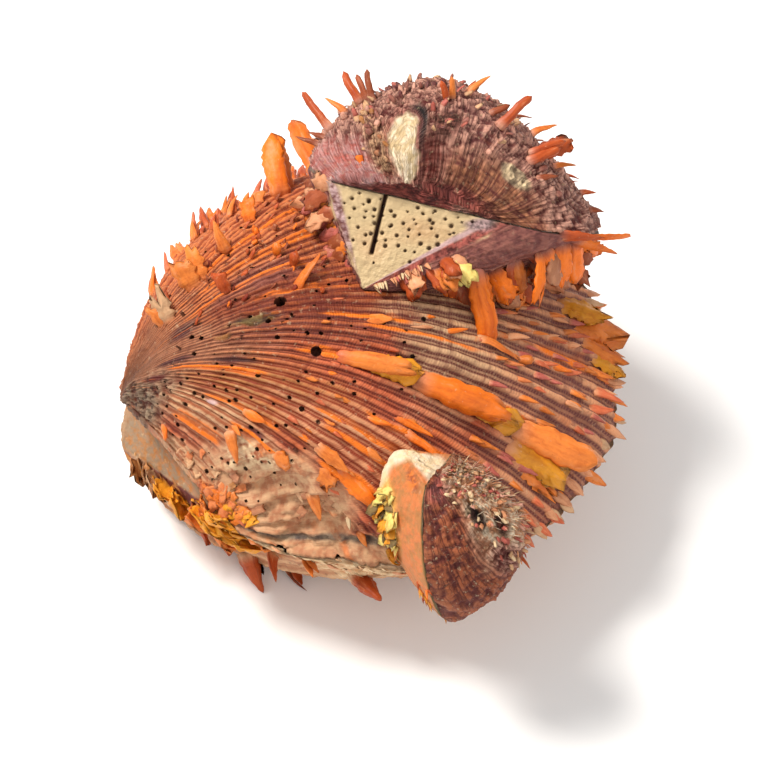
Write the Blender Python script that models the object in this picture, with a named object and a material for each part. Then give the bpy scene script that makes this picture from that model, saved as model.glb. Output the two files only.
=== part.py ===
"""A cluster of three thorny oysters grown together, at real size.

The great oyster lies on its cemented lower valve. Its ribbed, domed upper valve carries a second
oyster, the crest oyster, on its far slope, and a small one, the flank oyster, on its near right
flank. Each oyster has two valves, and each valve is one closed solid with its spines fused to it.

Sizes are in millimetres until the last step, which turns them into metres.
"""

import math
from dataclasses import dataclass

import bmesh
import bpy
from mathutils import Matrix, Vector, noise
from mathutils.bvhtree import BVHTree

MM = 0.001
UP = Vector((0, 0, 1))

# The whole cluster
COMMISSURE_HEIGHT = 38.0  # plane where the great valves meet, above the table
CLUSTER_CENTRE = Vector((-0.73, -9.47, 0.0))  # middle of the cluster, which becomes the origin
GAP = 0.4  # clearance that touching solids keep
FAR = 500.0  # a distance past the whole cluster

# How every valve's surface is laid out
BOWL_RINGS = (1.0, 0.9, 0.68, 0.38)  # the inside's rings, as shares of the way from its middle
RING_POWER = 0.92  # under 1 the rings lie closer together towards the margin
HINGE_SWELL = 0.25  # share of the dome's height right beside the hinge
REACH_POWER = 1.2  # how much more the dome swells where the margin is far from the beak
LUMPS = ((0.09, 1.0), (0.21, 0.6))  # frequency and share of each layer of unevenness

# How every spine and pit is made
SPINE_STEPS = 3
ROOT_LIFT = 20  # degrees steeper that a spine leaves the surface
SPINE_THICKNESS = 0.42  # of its width, at the root
SPINE_EDGE = 0.35  # half the thickness left at its tip
PIT_FLOOR = 0.7  # the floor's size beside the mouth's

# Outlines of the valves' margins, from the hinge's first end round to its second end
GREAT_OUTLINE = (
    (-67, -4), (-61, 17), (-45, 43), (-22, 60), (10, 68), (40, 56), (59, 27), (66, 0),
    (67, -26), (56, -46), (40, -62), (13, -70.5), (-6, -69), (-24, -65), (-36, -59),
)
CREST_OUTLINE = (
    (-24, 0), (-30, 13), (-28, 28), (-17, 44), (2, 54), (22, 56), (39, 48), (49, 35),
    (51, 20), (46, 7), (36, 1.5), (24, 0),
)
FLANK_OUTLINE = (
    (-9, 0), (-14, 6), (-17, 18), (-16, 31), (-10, 40), (0, 43), (10, 40), (16, 31),
    (17, 18), (14, 6), (9, 0),
)


@dataclass(frozen=True)
class Seat:
    """Where an oyster sits: its hinge's centre, and the directions of its hinge, belly and lid."""

    origin: Vector
    hinge: Vector
    belly: Vector

    def matrix(self, gape: float = 0.0) -> Matrix:
        """The oyster's own frame, turned about its hinge by the gape in degrees."""
        hinge = self.hinge.normalized()
        belly = (self.belly - hinge * self.belly.dot(hinge)).normalized()
        lid = hinge.cross(belly)
        turn = Matrix((hinge, belly, lid)).transposed().to_4x4()
        return Matrix.Translation(self.origin) @ turn @ Matrix.Rotation(math.radians(gape), 4, "X")


@dataclass(frozen=True)
class Spine:
    """One spine or scale, placed on the valve's fan and bent along its length."""

    across: float  # 0 at the outline's first end, 1 at its last
    growth: float  # 0 at the beak, 1 at the margin
    length: float
    width: float
    lift: float = 35.0  # degrees off the surface
    turn: float = 0.0  # degrees sideways, towards the outline's last end
    curl: float = 0.0  # degrees that it bends back down along its length
    tip: float = 0.25  # share of its width left at the tip


@dataclass(frozen=True)
class Pit:
    """A hollow bored or broken into the outer surface."""

    across: float
    growth: float
    width: float
    depth: float


@dataclass(frozen=True)
class Ledge:
    """A growth step: the surface drops past it, over part of the fan, and comes back slowly."""

    growth: float
    start: float
    end: float
    drop: float


@dataclass(frozen=True)
class Valve:
    """One valve: a ribbed outer surface that grows from its beak, and a bowl inside it."""

    name: str
    seat: Seat
    outline: tuple
    side: int  # 1 for a lid, -1 for a cup
    beak: Vector  # the beak, with its height taken off the plane of the margin
    dome: float
    wall: float
    columns: int
    rows: int
    hinge_columns: int
    rib_height: float
    roundness: float = 0.8
    crown: float = 0.8  # under 0.9 the dome is highest nearer the beak
    shoulder: float = 0.12  # share of the fan, from each hinge end, over which the dome rises
    lean: float = 0.0  # how far the dome leans along the hinge, as a share of its height
    rough: float = 0.0
    gape: float = 0.0
    floor: float | None = None  # height below the margin's plane where the cup is cut off flat
    colour: tuple = (0.6, 0.3, 0.2)
    spines: tuple = ()
    pits: tuple = ()
    ledges: tuple = ()


def along_curve(points: tuple, share: float) -> Vector:
    """A point on the smooth curve through the outline's points, by share of its spans."""
    spans = len(points) - 1
    place = min(max(share, 0.0), 1.0) * spans
    span = min(int(place), spans - 1)
    t = place - span
    before, start, end, after = (
        Vector(points[min(max(span + step, 0), spans)]) for step in (-1, 0, 1, 2)
    )
    return 0.5 * (
        2 * start
        + (end - before) * t
        + (2 * before - 5 * start + 4 * end - after) * t**2
        + (3 * start - before - 3 * end + after) * t**3
    )


def even_points(points: tuple, count: int) -> list:
    """Points evenly spaced along the outline's smooth curve, both ends included."""
    steps = 40 * len(points)
    fine = [along_curve(points, i / steps) for i in range(steps + 1)]
    run = [0.0]
    for a, b in zip(fine, fine[1:]):
        run.append(run[-1] + (b - a).length)
    found = []
    at = 0
    for i in range(count):
        want = run[-1] * i / (count - 1)
        while at < steps - 1 and run[at + 1] < want:
            at += 1
        part = (want - run[at]) / (run[at + 1] - run[at])
        found.append(fine[at].lerp(fine[at + 1], part))
    return found


def margin_points(valve: Valve) -> list:
    """The closed margin: the fan's columns, then the straight hinge back to its first end."""
    fan = even_points(valve.outline, valve.columns - valve.hinge_columns + 1)
    back = [
        fan[-1].lerp(fan[0], i / valve.hinge_columns) for i in range(1, valve.hinge_columns)
    ]
    return fan + back


def smooth_step(low: float, high: float, x: float) -> float:
    """0 below low, 1 above high, and smooth between."""
    t = min(max((x - low) / (high - low), 0.0), 1.0)
    return t * t * (3 - 2 * t)


class ValveShape:
    """Works out where each point of a valve's outer surface lies, in the valve's own frame."""

    def __init__(self, valve: Valve):
        self.valve = valve
        self.margin = margin_points(valve)
        self.fan = valve.columns - valve.hinge_columns
        self.foot = Vector(valve.beak.xy)
        self.reach = max((p - self.foot).length for p in self.margin)
        self.middle = sum(self.margin, Vector((0, 0))) / len(self.margin)

    def swell(self, column: int) -> float:
        """How far the surface domes along one column: most on the fan, none on the hinge."""
        share = (self.margin[column] - self.foot).length / self.reach
        if column > self.fan:
            return 0.0
        ends = min(column, self.fan - column) / self.fan
        rise = HINGE_SWELL + (1 - HINGE_SWELL) * smooth_step(0.0, self.valve.shoulder, ends)
        return self.valve.dome * share**REACH_POWER * rise

    def smooth_point(self, growth: float, column: int) -> Vector:
        """A point with no ribs: the straight line from beak to margin, raised into a dome."""
        valve = self.valve
        rim = self.margin[column]
        rise = math.sin(math.pi * growth**valve.crown) ** valve.roundness if growth < 1 else 0.0
        swell = self.swell(column) * rise
        height = valve.beak.z * (1 - growth) + swell + GAP / 2
        plan = self.foot.lerp(rim, growth)
        return Vector((plan.x + valve.lean * swell, plan.y, valve.side * height))

    def drop(self, ledge: Ledge, growth: float, column: int) -> float:
        """How far one ledge lowers the surface here."""
        across = column / self.fan
        over = smooth_step(ledge.start, ledge.start + 0.06, across)
        over -= smooth_step(ledge.end - 0.06, ledge.end, across)
        past = smooth_step(ledge.growth, ledge.growth + 0.06, growth)
        return ledge.drop * over * past * (1 - smooth_step(ledge.growth + 0.1, 1.0, growth))

    def outward(self, growth: float, column: int) -> Vector:
        """The surface's outward direction, from its neighbours' places."""
        step = 0.02
        low, high = max(growth - step, 0.01), min(growth + step, 0.999)
        along = self.smooth_point(high, column) - self.smooth_point(low, column)
        across = self.smooth_point(growth, (column + 1) % self.valve.columns) - self.smooth_point(
            growth, column - 1
        )
        found = along.cross(across)
        if found.length < 1e-9:
            return UP * self.valve.side
        return found.normalized() * (1 if found.z * self.valve.side > 0 else -1)

    def point(self, growth: float, column: int, more: float = 0.0) -> Vector:
        """A point of the ribbed surface, pushed out by more. The ribs move the margin in its plane."""
        if growth == 0:
            return self.smooth_point(0, column) + UP * self.valve.side * more
        place = self.smooth_point(growth, column)
        way = self.outward(growth, column)
        on_fan = 0 < column < self.fan
        rib = self.valve.rib_height * (0.5 if column % 2 else -0.5) * on_fan
        push = rib * smooth_step(0.05, 0.4, growth) + more
        if on_fan:
            lump = sum(part * noise.noise(place * scale) for scale, part in LUMPS)
            push += self.valve.rough * lump * smooth_step(0.02, 0.2, growth)
            push -= sum(self.drop(ledge, growth, column) for ledge in self.valve.ledges)
        if growth >= 1:
            way = Vector((way.x, way.y, 0.0)).normalized()
            place.z = self.valve.side * (GAP / 2 - more)
            push += more
        return place + way * push


def place_on_sphere(vert, columns: int, rings: int) -> tuple:
    """The ring and column that a point of the starting sphere belongs to."""
    ring = round(math.acos(min(max(vert.co.z, -1.0), 1.0)) / math.pi * rings)
    column = round(math.atan2(vert.co.y, vert.co.x) / (2 * math.pi) * columns) % columns
    return ring, column


def wrap_sphere(valve: Valve, more: float = 0.0) -> tuple:
    """Shapes a sphere into the valve: one pole is the beak, the other the middle of its bowl.

    The inside is left flat, a little past the plane of the margin, until the bowl is hollowed.
    """
    shape = ValveShape(valve)
    rings = valve.rows + len(BOWL_RINGS) + 1
    mesh = bmesh.new()
    bmesh.ops.create_uvsphere(mesh, u_segments=valve.columns, v_segments=rings, radius=1)
    places = {vert: place_on_sphere(vert, valve.columns, rings) for vert in mesh.verts}
    grid = {}
    inside = []  # all but the rim, which stays in the plane of the margin
    for vert, (ring, column) in places.items():
        grid[ring, column if 0 < ring < rings else 0] = vert
        if ring <= valve.rows:
            vert.co = shape.point((ring / valve.rows) ** RING_POWER, column, more)
            continue
        rim = shape.margin[column]
        inset = 1 - valve.wall / (rim - shape.middle).length
        share = 0.0 if ring == rings else BOWL_RINGS[ring - valve.rows - 1]
        plan = shape.middle.lerp(rim, inset * share)
        vert.co = Vector((*plan, valve.side * (GAP / 2 - more)))
        if share < 1:
            vert.co.z = -valve.side * GAP
            inside.append(vert)
    bmesh.ops.recalc_face_normals(mesh, faces=mesh.faces)
    return mesh, grid, inside, shape


def hollow_bowl(mesh, inside: list, valve: Valve, ground: BVHTree | None) -> None:
    """Sinks the bowl to a wall's thickness off the outer surface, the floor and the ground."""
    outside = BVHTree.FromBMesh(mesh)
    for vert in inside:
        plan = Vector((vert.co.x, vert.co.y, 0))
        limits = [abs(outside.ray_cast(plan + UP * valve.side * FAR, UP * -valve.side)[0].z)]
        if valve.floor is not None:
            limits.append(valve.floor)
        if ground is not None:
            below = ground.ray_cast(plan + UP * FAR, -UP)[0]
            limits += [] if below is None else [-below.z]
        vert.co.z = valve.side * max(min(limits) - valve.wall, GAP)


def find_face(grid: dict, shape: ValveShape, across: float, growth: float) -> tuple:
    """The face of the outer surface at a place on the fan, its corners, ring and column."""
    rows = shape.valve.rows
    ring = min(max(round(growth ** (1 / RING_POWER) * rows - 0.5), 1), rows - 1)
    column = min(max(round(across * shape.fan - 0.5), 0), shape.fan - 1)
    places = ((ring, column), (ring + 1, column), (ring + 1, column + 1), (ring, column + 1))
    corners = [grid[place] for place in places]
    face = next(f for f in corners[0].link_faces if all(c in f.verts for c in corners))
    return face, corners, ring, column


def sink_pit(mesh, grid: dict, shape: ValveShape, pit: Pit) -> None:
    """Draws one face in and sinks it into the wall."""
    face, _, ring, column = find_face(grid, shape, pit.across, pit.growth)
    inward = -shape.outward(ring / shape.valve.rows, column)
    size = math.sqrt(face.calc_area())
    bmesh.ops.inset_individual(mesh, faces=[face], thickness=max(0.5 * (size - pit.width), 0.2))
    floor = bmesh.ops.extrude_discrete_faces(mesh, faces=[face])["faces"][0]
    middle = floor.calc_center_median()
    for vert in floor.verts:
        vert.co = middle + (vert.co - middle) * PIT_FLOOR + inward * pit.depth


def grow_spine(mesh, grid: dict, shape: ValveShape, spine: Spine) -> None:
    """Extrudes one face of the outer surface into a spine that tapers and bends."""
    face, corners, ring, column = find_face(grid, shape, spine.across, spine.growth)
    signs = ((-1, -1), (1, -1), (1, 1), (-1, 1))  # forward, then sideways
    centre = face.calc_center_median()
    along = (corners[1].co + corners[2].co - corners[0].co - corners[3].co).normalized()
    across = (corners[2].co + corners[3].co - corners[0].co - corners[1].co).normalized()
    outward = shape.outward(min((ring + 0.5) / shape.valve.rows, 0.98), column)
    across = (across - outward * across.dot(outward)).normalized()
    along = (along - outward * along.dot(outward) - across * along.dot(across)).normalized()
    turn = math.radians(spine.turn)
    forward = along * math.cos(turn) + across * math.sin(turn)
    sideways = across * math.cos(turn) - along * math.sin(turn)
    quarter = round(spine.turn / 90)
    order = {corner: signs[(place - quarter) % 4] for place, corner in enumerate(corners)}
    by_corner = [order[vert] for vert in face.verts]
    for step in range(1, SPINE_STEPS + 1):
        share = step / SPINE_STEPS
        root = ROOT_LIFT if step == 1 else 0
        lift = math.radians(spine.lift + root - spine.curl * (step - 0.5) / SPINE_STEPS)
        way = forward * math.cos(lift) + outward * math.sin(lift)
        centre = centre + way * (spine.length / SPINE_STEPS)
        broad = spine.width * (1 + (spine.tip - 1) * share**1.5) / 2
        thick = SPINE_THICKNESS * spine.width * (1 - share) / 2 + SPINE_EDGE
        up = outward * math.cos(lift) - forward * math.sin(lift)
        face = bmesh.ops.extrude_discrete_faces(mesh, faces=[face])["faces"][0]
        for vert, (fore, side) in zip(face.verts, by_corner):
            vert.co = centre + sideways * (side * broad) - up * (fore * thick)


def finish_object(mesh, name: str, colour: tuple, frame: Matrix) -> bpy.types.Object:
    """Puts the mesh in the cluster's frame, in metres, as an object with its own material."""
    to_metres = Matrix.Scale(MM, 4) @ Matrix.Translation(-CLUSTER_CENTRE)
    bmesh.ops.transform(mesh, matrix=to_metres @ frame, verts=mesh.verts)
    bmesh.ops.recalc_face_normals(mesh, faces=mesh.faces)
    data = bpy.data.meshes.new(name)
    mesh.to_mesh(data)
    mesh.free()
    material = bpy.data.materials.new(name)
    material.use_nodes = True
    shader = material.node_tree.nodes["Principled BSDF"]
    shader.inputs["Base Color"].default_value = (*colour, 1.0)
    shader.inputs["Roughness"].default_value = 0.6
    shader.inputs["Metallic"].default_value = 0.0
    data.materials.append(material)
    data.shade_smooth()
    data.set_sharp_from_angle(angle=math.radians(35))
    made = bpy.data.objects.new(name, data)
    bpy.context.scene.collection.objects.link(made)
    return made


def ground_under(valve: Valve) -> BVHTree:
    """The great oyster's outer surface, as it lies in another valve's own frame."""
    mesh, _, _, _ = wrap_sphere(GREAT_LID, more=GAP)
    turn = valve.seat.matrix(valve.gape).inverted() @ GREAT_SEAT.matrix()
    bmesh.ops.transform(mesh, matrix=turn, verts=mesh.verts)
    tree = BVHTree.FromBMesh(mesh)
    mesh.free()
    return tree


def build_valve(valve: Valve) -> bpy.types.Object:
    """Makes one valve with its pits and spines. A cup that rides another oyster fits to it."""
    rides = valve.side < 0 and valve.floor is None
    mesh, grid, inside, shape = wrap_sphere(valve)
    hollow_bowl(mesh, inside, valve, ground_under(valve) if rides else None)
    for pit in valve.pits:
        sink_pit(mesh, grid, shape, pit)
    for spine in valve.spines:
        grow_spine(mesh, grid, shape, spine)
    if valve.floor is not None:
        cut = bmesh.ops.bisect_plane(
            mesh,
            geom=mesh.verts[:] + mesh.edges[:] + mesh.faces[:],
            plane_co=(0, 0, -valve.floor),
            plane_no=(0, 0, -1),
            clear_outer=True,
        )
        edges = [item for item in cut["geom_cut"] if isinstance(item, bmesh.types.BMEdge)]
        bmesh.ops.holes_fill(mesh, edges=edges, sides=0)
    return finish_object(mesh, valve.name, valve.colour, valve.seat.matrix(valve.gape))


def build_cutter(valve: Valve) -> bpy.types.Object:
    """A plug of the valve's outer shape, a gap larger, which clears room for what grows on it."""
    mesh, _, _, _ = wrap_sphere(valve, more=GAP)
    made = finish_object(mesh, valve.name + "_room", valve.colour, valve.seat.matrix(valve.gape))
    made.hide_render = True
    made.display_type = "WIRE"
    return made


def cut_by(target: bpy.types.Object, cutter: bpy.types.Object) -> None:
    """Cuts the target back to where it meets what it grows on."""
    boolean = target.modifiers.new("room_" + cutter.name, "BOOLEAN")
    boolean.operation = "DIFFERENCE"
    boolean.solver = "EXACT"
    boolean.object = cutter


GREAT_SEAT = Seat(Vector((0, 0, COMMISSURE_HEIGHT)), Vector((1, 0, 0)), Vector((0, 1, 0)))
CREST_SEAT = Seat(
    origin=Vector((11.5, 10.7, 94.3)),
    hinge=Vector((0.973, -0.189, -0.133)),
    belly=Vector((0.048, 0.727, -0.685)),
)
FLANK_SEAT = Seat(
    origin=Vector((17.9, -59.6, 69.5)),
    hinge=Vector((-0.40, -0.83, 0.40)),
    belly=Vector((0.15, -0.50, -0.85)),
)

GREAT_LID = Valve(
    name="great_upper_valve",
    seat=GREAT_SEAT,
    outline=GREAT_OUTLINE,
    side=1,
    beak=Vector((-69, -21, 9)),
    dome=40,
    wall=4.5,
    columns=64,
    rows=14,
    hinge_columns=8,
    rib_height=1.6,
    colour=(0.62, 0.30, 0.19),
    ledges=(Ledge(0.6, 0.8, 0.93, 1.5), Ledge(0.78, 0.76, 0.93, 2.0)),
    pits=(Pit(0.55, 0.36, 3.5, 2.5), Pit(0.59, 0.28, 6.0, 1.5), Pit(0.63, 0.17, 3.5, 1.5)),
    spines=(
        Spine(0.32, 0.55, 17, 5.5, lift=45, turn=-35, tip=0.9),
        Spine(0.27, 0.85, 20, 5, lift=45, turn=-20, tip=0.5),
        Spine(0.33, 0.42, 6, 3.5, lift=45, turn=-35),
        Spine(0.37, 0.3, 9, 4, lift=45, turn=-60),
        Spine(0.4, 0.2, 10, 4, lift=40, turn=-65),
        Spine(0.44, 0.12, 7, 3, lift=40, turn=-65),
        Spine(0.5, 0.25, 6, 3, lift=40, turn=-75),
        Spine(0.7, 0.45, 20, 7, lift=15, turn=-10, curl=15, tip=0.6),
        Spine(0.68, 0.66, 18, 8, lift=18, curl=10, tip=0.6),
        Spine(0.7, 0.86, 26, 13, lift=15, turn=-30, tip=0.5),
        Spine(0.82, 0.62, 11, 6, lift=15, turn=-20, curl=10, tip=0.5),
        Spine(0.75, 0.62, 7, 3, lift=20, turn=-10),
        Spine(0.77, 0.6, 7, 3, lift=20, turn=-25),
        Spine(0.88, 0.47, 8, 3, lift=20, turn=50),
        Spine(0.62, 0.72, 9, 3, lift=35, turn=45, curl=40),
        Spine(0.56, 0.93, 15, 12, lift=15, turn=10, tip=0.7),
        Spine(0.61, 0.93, 7, 3, lift=20, turn=10),
        Spine(0.65, 0.93, 7, 4, lift=20, turn=-30),
    ),
)
GREAT_CUP = Valve(
    name="great_lower_valve",
    seat=GREAT_SEAT,
    outline=GREAT_OUTLINE,
    side=-1,
    beak=Vector((-70, -21, 15)),
    dome=46,
    wall=4.5,
    columns=56,
    rows=10,
    hinge_columns=8,
    rib_height=1.2,
    floor=COMMISSURE_HEIGHT,
    colour=(0.72, 0.42, 0.20),
    spines=(
        Spine(0.9, 0.5, 9, 5, lift=30, turn=-50),
        Spine(0.88, 0.88, 10, 4.5, lift=30, turn=-10),
        Spine(0.92, 0.35, 9, 3, lift=30, turn=20),
        Spine(0.94, 0.5, 9, 3, lift=30),
        Spine(0.97, 0.35, 10, 8, lift=30, turn=20, tip=0.6),
        Spine(0.98, 0.22, 8, 7, lift=30, turn=20, tip=0.6),
        Spine(0.1, 0.6, 10, 4, lift=25),
        Spine(0.25, 0.8, 10, 4, lift=25),
        Spine(0.4, 0.85, 12, 5, lift=25),
        Spine(0.55, 0.85, 12, 5, lift=25),
        Spine(0.7, 0.85, 10, 4, lift=25),
    ),
)
CREST_LID = Valve(
    name="crest_upper_valve",
    seat=CREST_SEAT,
    outline=CREST_OUTLINE,
    side=1,
    beak=Vector((-4, -3, 5)),
    dome=27,
    lean=-0.42,
    wall=3.0,
    columns=48,
    rows=10,
    hinge_columns=8,
    rib_height=1.0,
    rough=1.2,
    gape=3.0,
    colour=(0.45, 0.24, 0.26),
    spines=(
        Spine(0.12, 0.7, 14, 2.5, lift=45, turn=60),
        Spine(0.23, 0.5, 11, 2.5, lift=50, turn=25),
        Spine(0.26, 0.4, 9, 2.2, lift=50, turn=40),
        Spine(0.74, 0.3, 5.5, 2.5, lift=50, turn=-110),
        Spine(0.7, 0.42, 8, 2.5, lift=45),
        Spine(0.78, 0.5, 6, 2.5, lift=40, turn=-20),
        Spine(0.82, 0.55, 12, 3, lift=45, turn=-65),
        Spine(0.82, 0.72, 12, 5.5, lift=35, turn=-50, tip=1.2),
        Spine(0.85, 0.72, 10, 3, lift=30, turn=-55),
        Spine(0.87, 0.78, 6, 2.2, lift=30, turn=-40),
    ),
)
CREST_CUP = Valve(
    name="crest_lower_valve",
    seat=CREST_SEAT,
    outline=CREST_OUTLINE,
    side=-1,
    beak=Vector((-8, -7, 25)),
    dome=9,
    shoulder=0.4,
    wall=3.0,
    columns=48,
    rows=9,
    hinge_columns=8,
    rib_height=1.0,
    colour=(0.80, 0.70, 0.52),
    spines=(
        Spine(0.8, 0.92, 14, 5, lift=20, turn=-60),
        Spine(0.84, 0.82, 12, 3.5, lift=25, turn=-80),
        Spine(0.76, 0.5, 14, 7, lift=45, turn=-100, tip=0.8),
        Spine(0.8, 0.65, 9, 3.5, lift=25, turn=-75),
        Spine(0.04, 0.9, 9, 4, lift=25, turn=120),
        Spine(0.65, 0.9, 10, 4, lift=25, turn=-40),
    ),
)
FLANK_LID = Valve(
    name="flank_upper_valve",
    seat=FLANK_SEAT,
    outline=FLANK_OUTLINE,
    side=1,
    beak=Vector((0, -3, 5)),
    dome=18,
    roundness=0.6,
    crown=0.95,
    wall=1.8,
    columns=36,
    rows=8,
    hinge_columns=6,
    rib_height=0.6,
    rough=0.8,
    colour=(0.30, 0.15, 0.14),
    spines=(
        Spine(0.25, 0.75, 4, 1.8, lift=35),
        Spine(0.4, 0.85, 4, 1.8, lift=35),
        Spine(0.5, 0.6, 4, 1.8, lift=45),
    ),
)
FLANK_CUP = Valve(
    name="flank_lower_valve",
    seat=FLANK_SEAT,
    outline=FLANK_OUTLINE,
    side=-1,
    beak=Vector((-1, -5, 10)),
    dome=12,
    wall=1.8,
    columns=36,
    rows=8,
    hinge_columns=6,
    rib_height=0.5,
    colour=(0.75, 0.42, 0.18),
)


def main() -> None:
    """Builds the three oysters, and cuts the riders back to the great oyster's surface."""
    for leftover in list(bpy.data.objects):
        bpy.data.objects.remove(leftover)
    made = {
        valve.name: build_valve(valve)
        for valve in (GREAT_LID, GREAT_CUP, CREST_LID, CREST_CUP, FLANK_LID, FLANK_CUP)
    }
    rooms = [build_cutter(GREAT_LID), build_cutter(GREAT_CUP)]
    for rider in ("crest_lower_valve", "crest_upper_valve", "flank_lower_valve", "flank_upper_valve"):
        for room in rooms:
            cut_by(made[rider], room)


main()
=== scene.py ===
"""The looks of three thorny oysters grown together, built around the fixed solids of the frame.

Each valve repeats its solid's form, ring by ring from the beak to the margin, and adds the fine
ribs, growth steps, bored holes, spines and frills. Sizes are in millimetres in the cluster's own
frame, until a finished mesh is moved to the row frame in metres.
"""

import logging
import math
import random
from dataclasses import dataclass
from enum import Enum
from functools import cached_property

import bmesh
import bpy
import numpy as np
from mathutils import Matrix, Vector, noise
from mathutils.bvhtree import BVHTree

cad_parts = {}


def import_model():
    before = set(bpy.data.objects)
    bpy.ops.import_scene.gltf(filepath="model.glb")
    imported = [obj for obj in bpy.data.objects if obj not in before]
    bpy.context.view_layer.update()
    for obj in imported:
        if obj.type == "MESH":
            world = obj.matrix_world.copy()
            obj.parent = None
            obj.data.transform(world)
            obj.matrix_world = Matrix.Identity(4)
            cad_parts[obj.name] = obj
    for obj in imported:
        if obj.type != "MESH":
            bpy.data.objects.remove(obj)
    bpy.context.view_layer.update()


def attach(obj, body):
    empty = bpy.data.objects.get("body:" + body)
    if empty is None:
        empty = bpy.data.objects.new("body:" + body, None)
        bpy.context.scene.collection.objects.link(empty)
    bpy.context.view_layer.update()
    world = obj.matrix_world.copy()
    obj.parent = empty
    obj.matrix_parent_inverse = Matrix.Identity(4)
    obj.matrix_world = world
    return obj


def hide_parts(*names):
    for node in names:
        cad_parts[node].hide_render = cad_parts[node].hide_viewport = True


LOG = logging.getLogger("thorny_oysters")

MM = 0.001
UP = Vector((0, 0, 1))
FAR = 500.0  # a distance past the whole cluster
COMMISSURE_HEIGHT = 38.0  # plane where the great valves meet, above the table
CLUSTER_CENTRE = Vector((-0.73, -9.47, 0.0))  # middle of the cluster, which is the row's origin
GAP = 0.4  # clearance that touching valves keep

BOWL_RINGS = (1.0, 0.97, 0.9, 0.8, 0.68, 0.54, 0.38, 0.2)  # shares of the way from the middle
RING_POWER = 0.92
HINGE_SWELL = 0.25
REACH_POWER = 1.2
RIB_COLUMNS = 7  # columns of the mesh in one rib
MAIN_RIBS = 4  # ribs from one taller rib to the next
SHEEN = 0.25  # of an ordinary smooth surface's shine
WARM = (1.0, 0.96, 0.9)  # colour of the lamps
COAT_ROUGHNESS = 0.3
NO_MARKS = (0, 0, 0, 0)

CURVE_STEPS = 60  # of the smooth curve, for each of an outline's own points
SPREAD = (0.7549, 0.5698)  # steps, in parts of a side, that scatter points evenly over an area
JITTER = 0.06  # of a side, the most that each of those points is moved
PRESSED_SHADE = 0.85  # painted shade: how dark a pressed hole is painted, for the shade that a cut one's walls are in
CURLS = (-10, 25)  # degrees that strewn spines bend back
TORN = (0.3, 1.0)  # shares of its group's raggedness that a strewn spine has
STRIDE = 2  # rings or columns over which a spine's directions are measured
EDGE_WAVER = 0.35  # how far a patch's edge strays, in reaches
RIM_SHARE = 1.25  # of a hole's radius, within which faces are taken up by its rim
RIM_WIDTH = 0.15
RIM_DARK = 0.06
HOLE_STAGES = ((0.15, 0.97), (0.85, 0.85))  # parts of a hole's depth, and its width at each end
# painted shade on a cut hole's walls and floor
HOLE_SHADE = 0.8
WALL_LEFT = 0.8  # of a wall's thickness, that stays everywhere between the bowl and the outside

SHADED = (0.66, 0.48, 0.36)  # a spine's furrows against its ridges
BRIGHTNESS = (0.85, 1.12)  # of a spine against its shade
FINENESS = ((14, (18, 15)), (8.5, (10, 9)), (5, (8, 6)), (0, (6, 5)))  # by size: sides and rings
ROOT_DEPTH = 0.25  # of its length, that a spine is sunk, up to 1 mm
ROOT_TINT = (0.04, 0.3)  # shares of its length over which it takes on its own colour
FURROW = 0.09  # of half its width, that a spine's furrows are deep
LIP = 0.35  # of half its width, that its sides hang
WAVE = 0.3  # of half its width, that it waves towards its tip
BEND = 0.08  # of its length, that it strays sideways
TEAR = 2.2  # times its raggedness, that its end is torn
FLARE = 0.6  # of half its width, that its root widens where it stands upright
NOTCH = 0.05  # of half its width, that its edge is notched, and more where it's ragged
CLOSING = 0.8  # share of its length from which its end rounds off


class Shade(Enum):
    """The colours of dry shell, as red, green and blue of 255."""

    BLACK = (18, 9, 7)
    UMBER = (54, 25, 17)
    MAROON = (92, 25, 15)
    WINE = (88, 34, 30)
    PLUM = (102, 52, 50)
    MAUVE = (144, 88, 76)
    LILAC = (192, 158, 156)
    ROSE = (178, 92, 80)
    BLUSH = (204, 150, 130)
    SALMON = (202, 102, 64)
    APRICOT = (206, 118, 66)
    PEACH = (216, 150, 108)
    CREAM = (228, 200, 158)
    BONE = (198, 172, 130)
    IVORY = (228, 210, 182)
    SAND = (204, 160, 120)
    FAWN = (174, 114, 80)
    TAN = (174, 116, 66)
    CLAY = (148, 72, 38)
    COCOA = (96, 48, 33)
    BRICK = (130, 42, 17)
    RUST = (176, 74, 24)
    ORANGE = (230, 114, 22)
    TANGERINE = (220, 122, 48)
    AMBER = (224, 148, 34)
    LEMON = (228, 206, 116)
    OLIVE = (118, 96, 54)
    STONE = (150, 128, 104)
    SLATE = (76, 62, 60)

    @property
    def linear(self) -> np.ndarray:
        """The colour as three linear numbers, as shaders take it."""
        part = np.array(self.value) / 255
        return np.where(part <= 0.04045, part / 12.92, ((part + 0.055) / 1.055) ** 2.4)


def smooth_step(low: float, high: float, value: np.ndarray) -> np.ndarray:
    """Rises smoothly from 0 at low to 1 at high.

    Args:
        low: where the rise starts.
        high: where it ends.
        value: a number or an array of them.

    Returns:
        Numbers from 0 to 1, in the shape of value.
    """
    share = np.clip((value - low) / (high - low), 0, 1)
    return share * share * (3 - 2 * share)


def rumple(places: np.ndarray, scale: float, octaves: int = 3, shift: float = 0.0) -> np.ndarray:
    """Uneven noise over a grid of points.

    Args:
        places: points, with their three coordinates on the last axis.
        scale: lumps per millimetre, roughly.
        octaves: layers of finer noise.
        shift: moves the pattern, so that two calls differ.

    Returns:
        Numbers from about -1 to 1, one a point.
    """
    flat = (places.reshape(-1, 3) * scale + shift).tolist()
    found = [noise.fractal(point, 1.0, 2.0, octaves) for point in flat]
    return np.array(found).reshape(places.shape[:-1])


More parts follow.
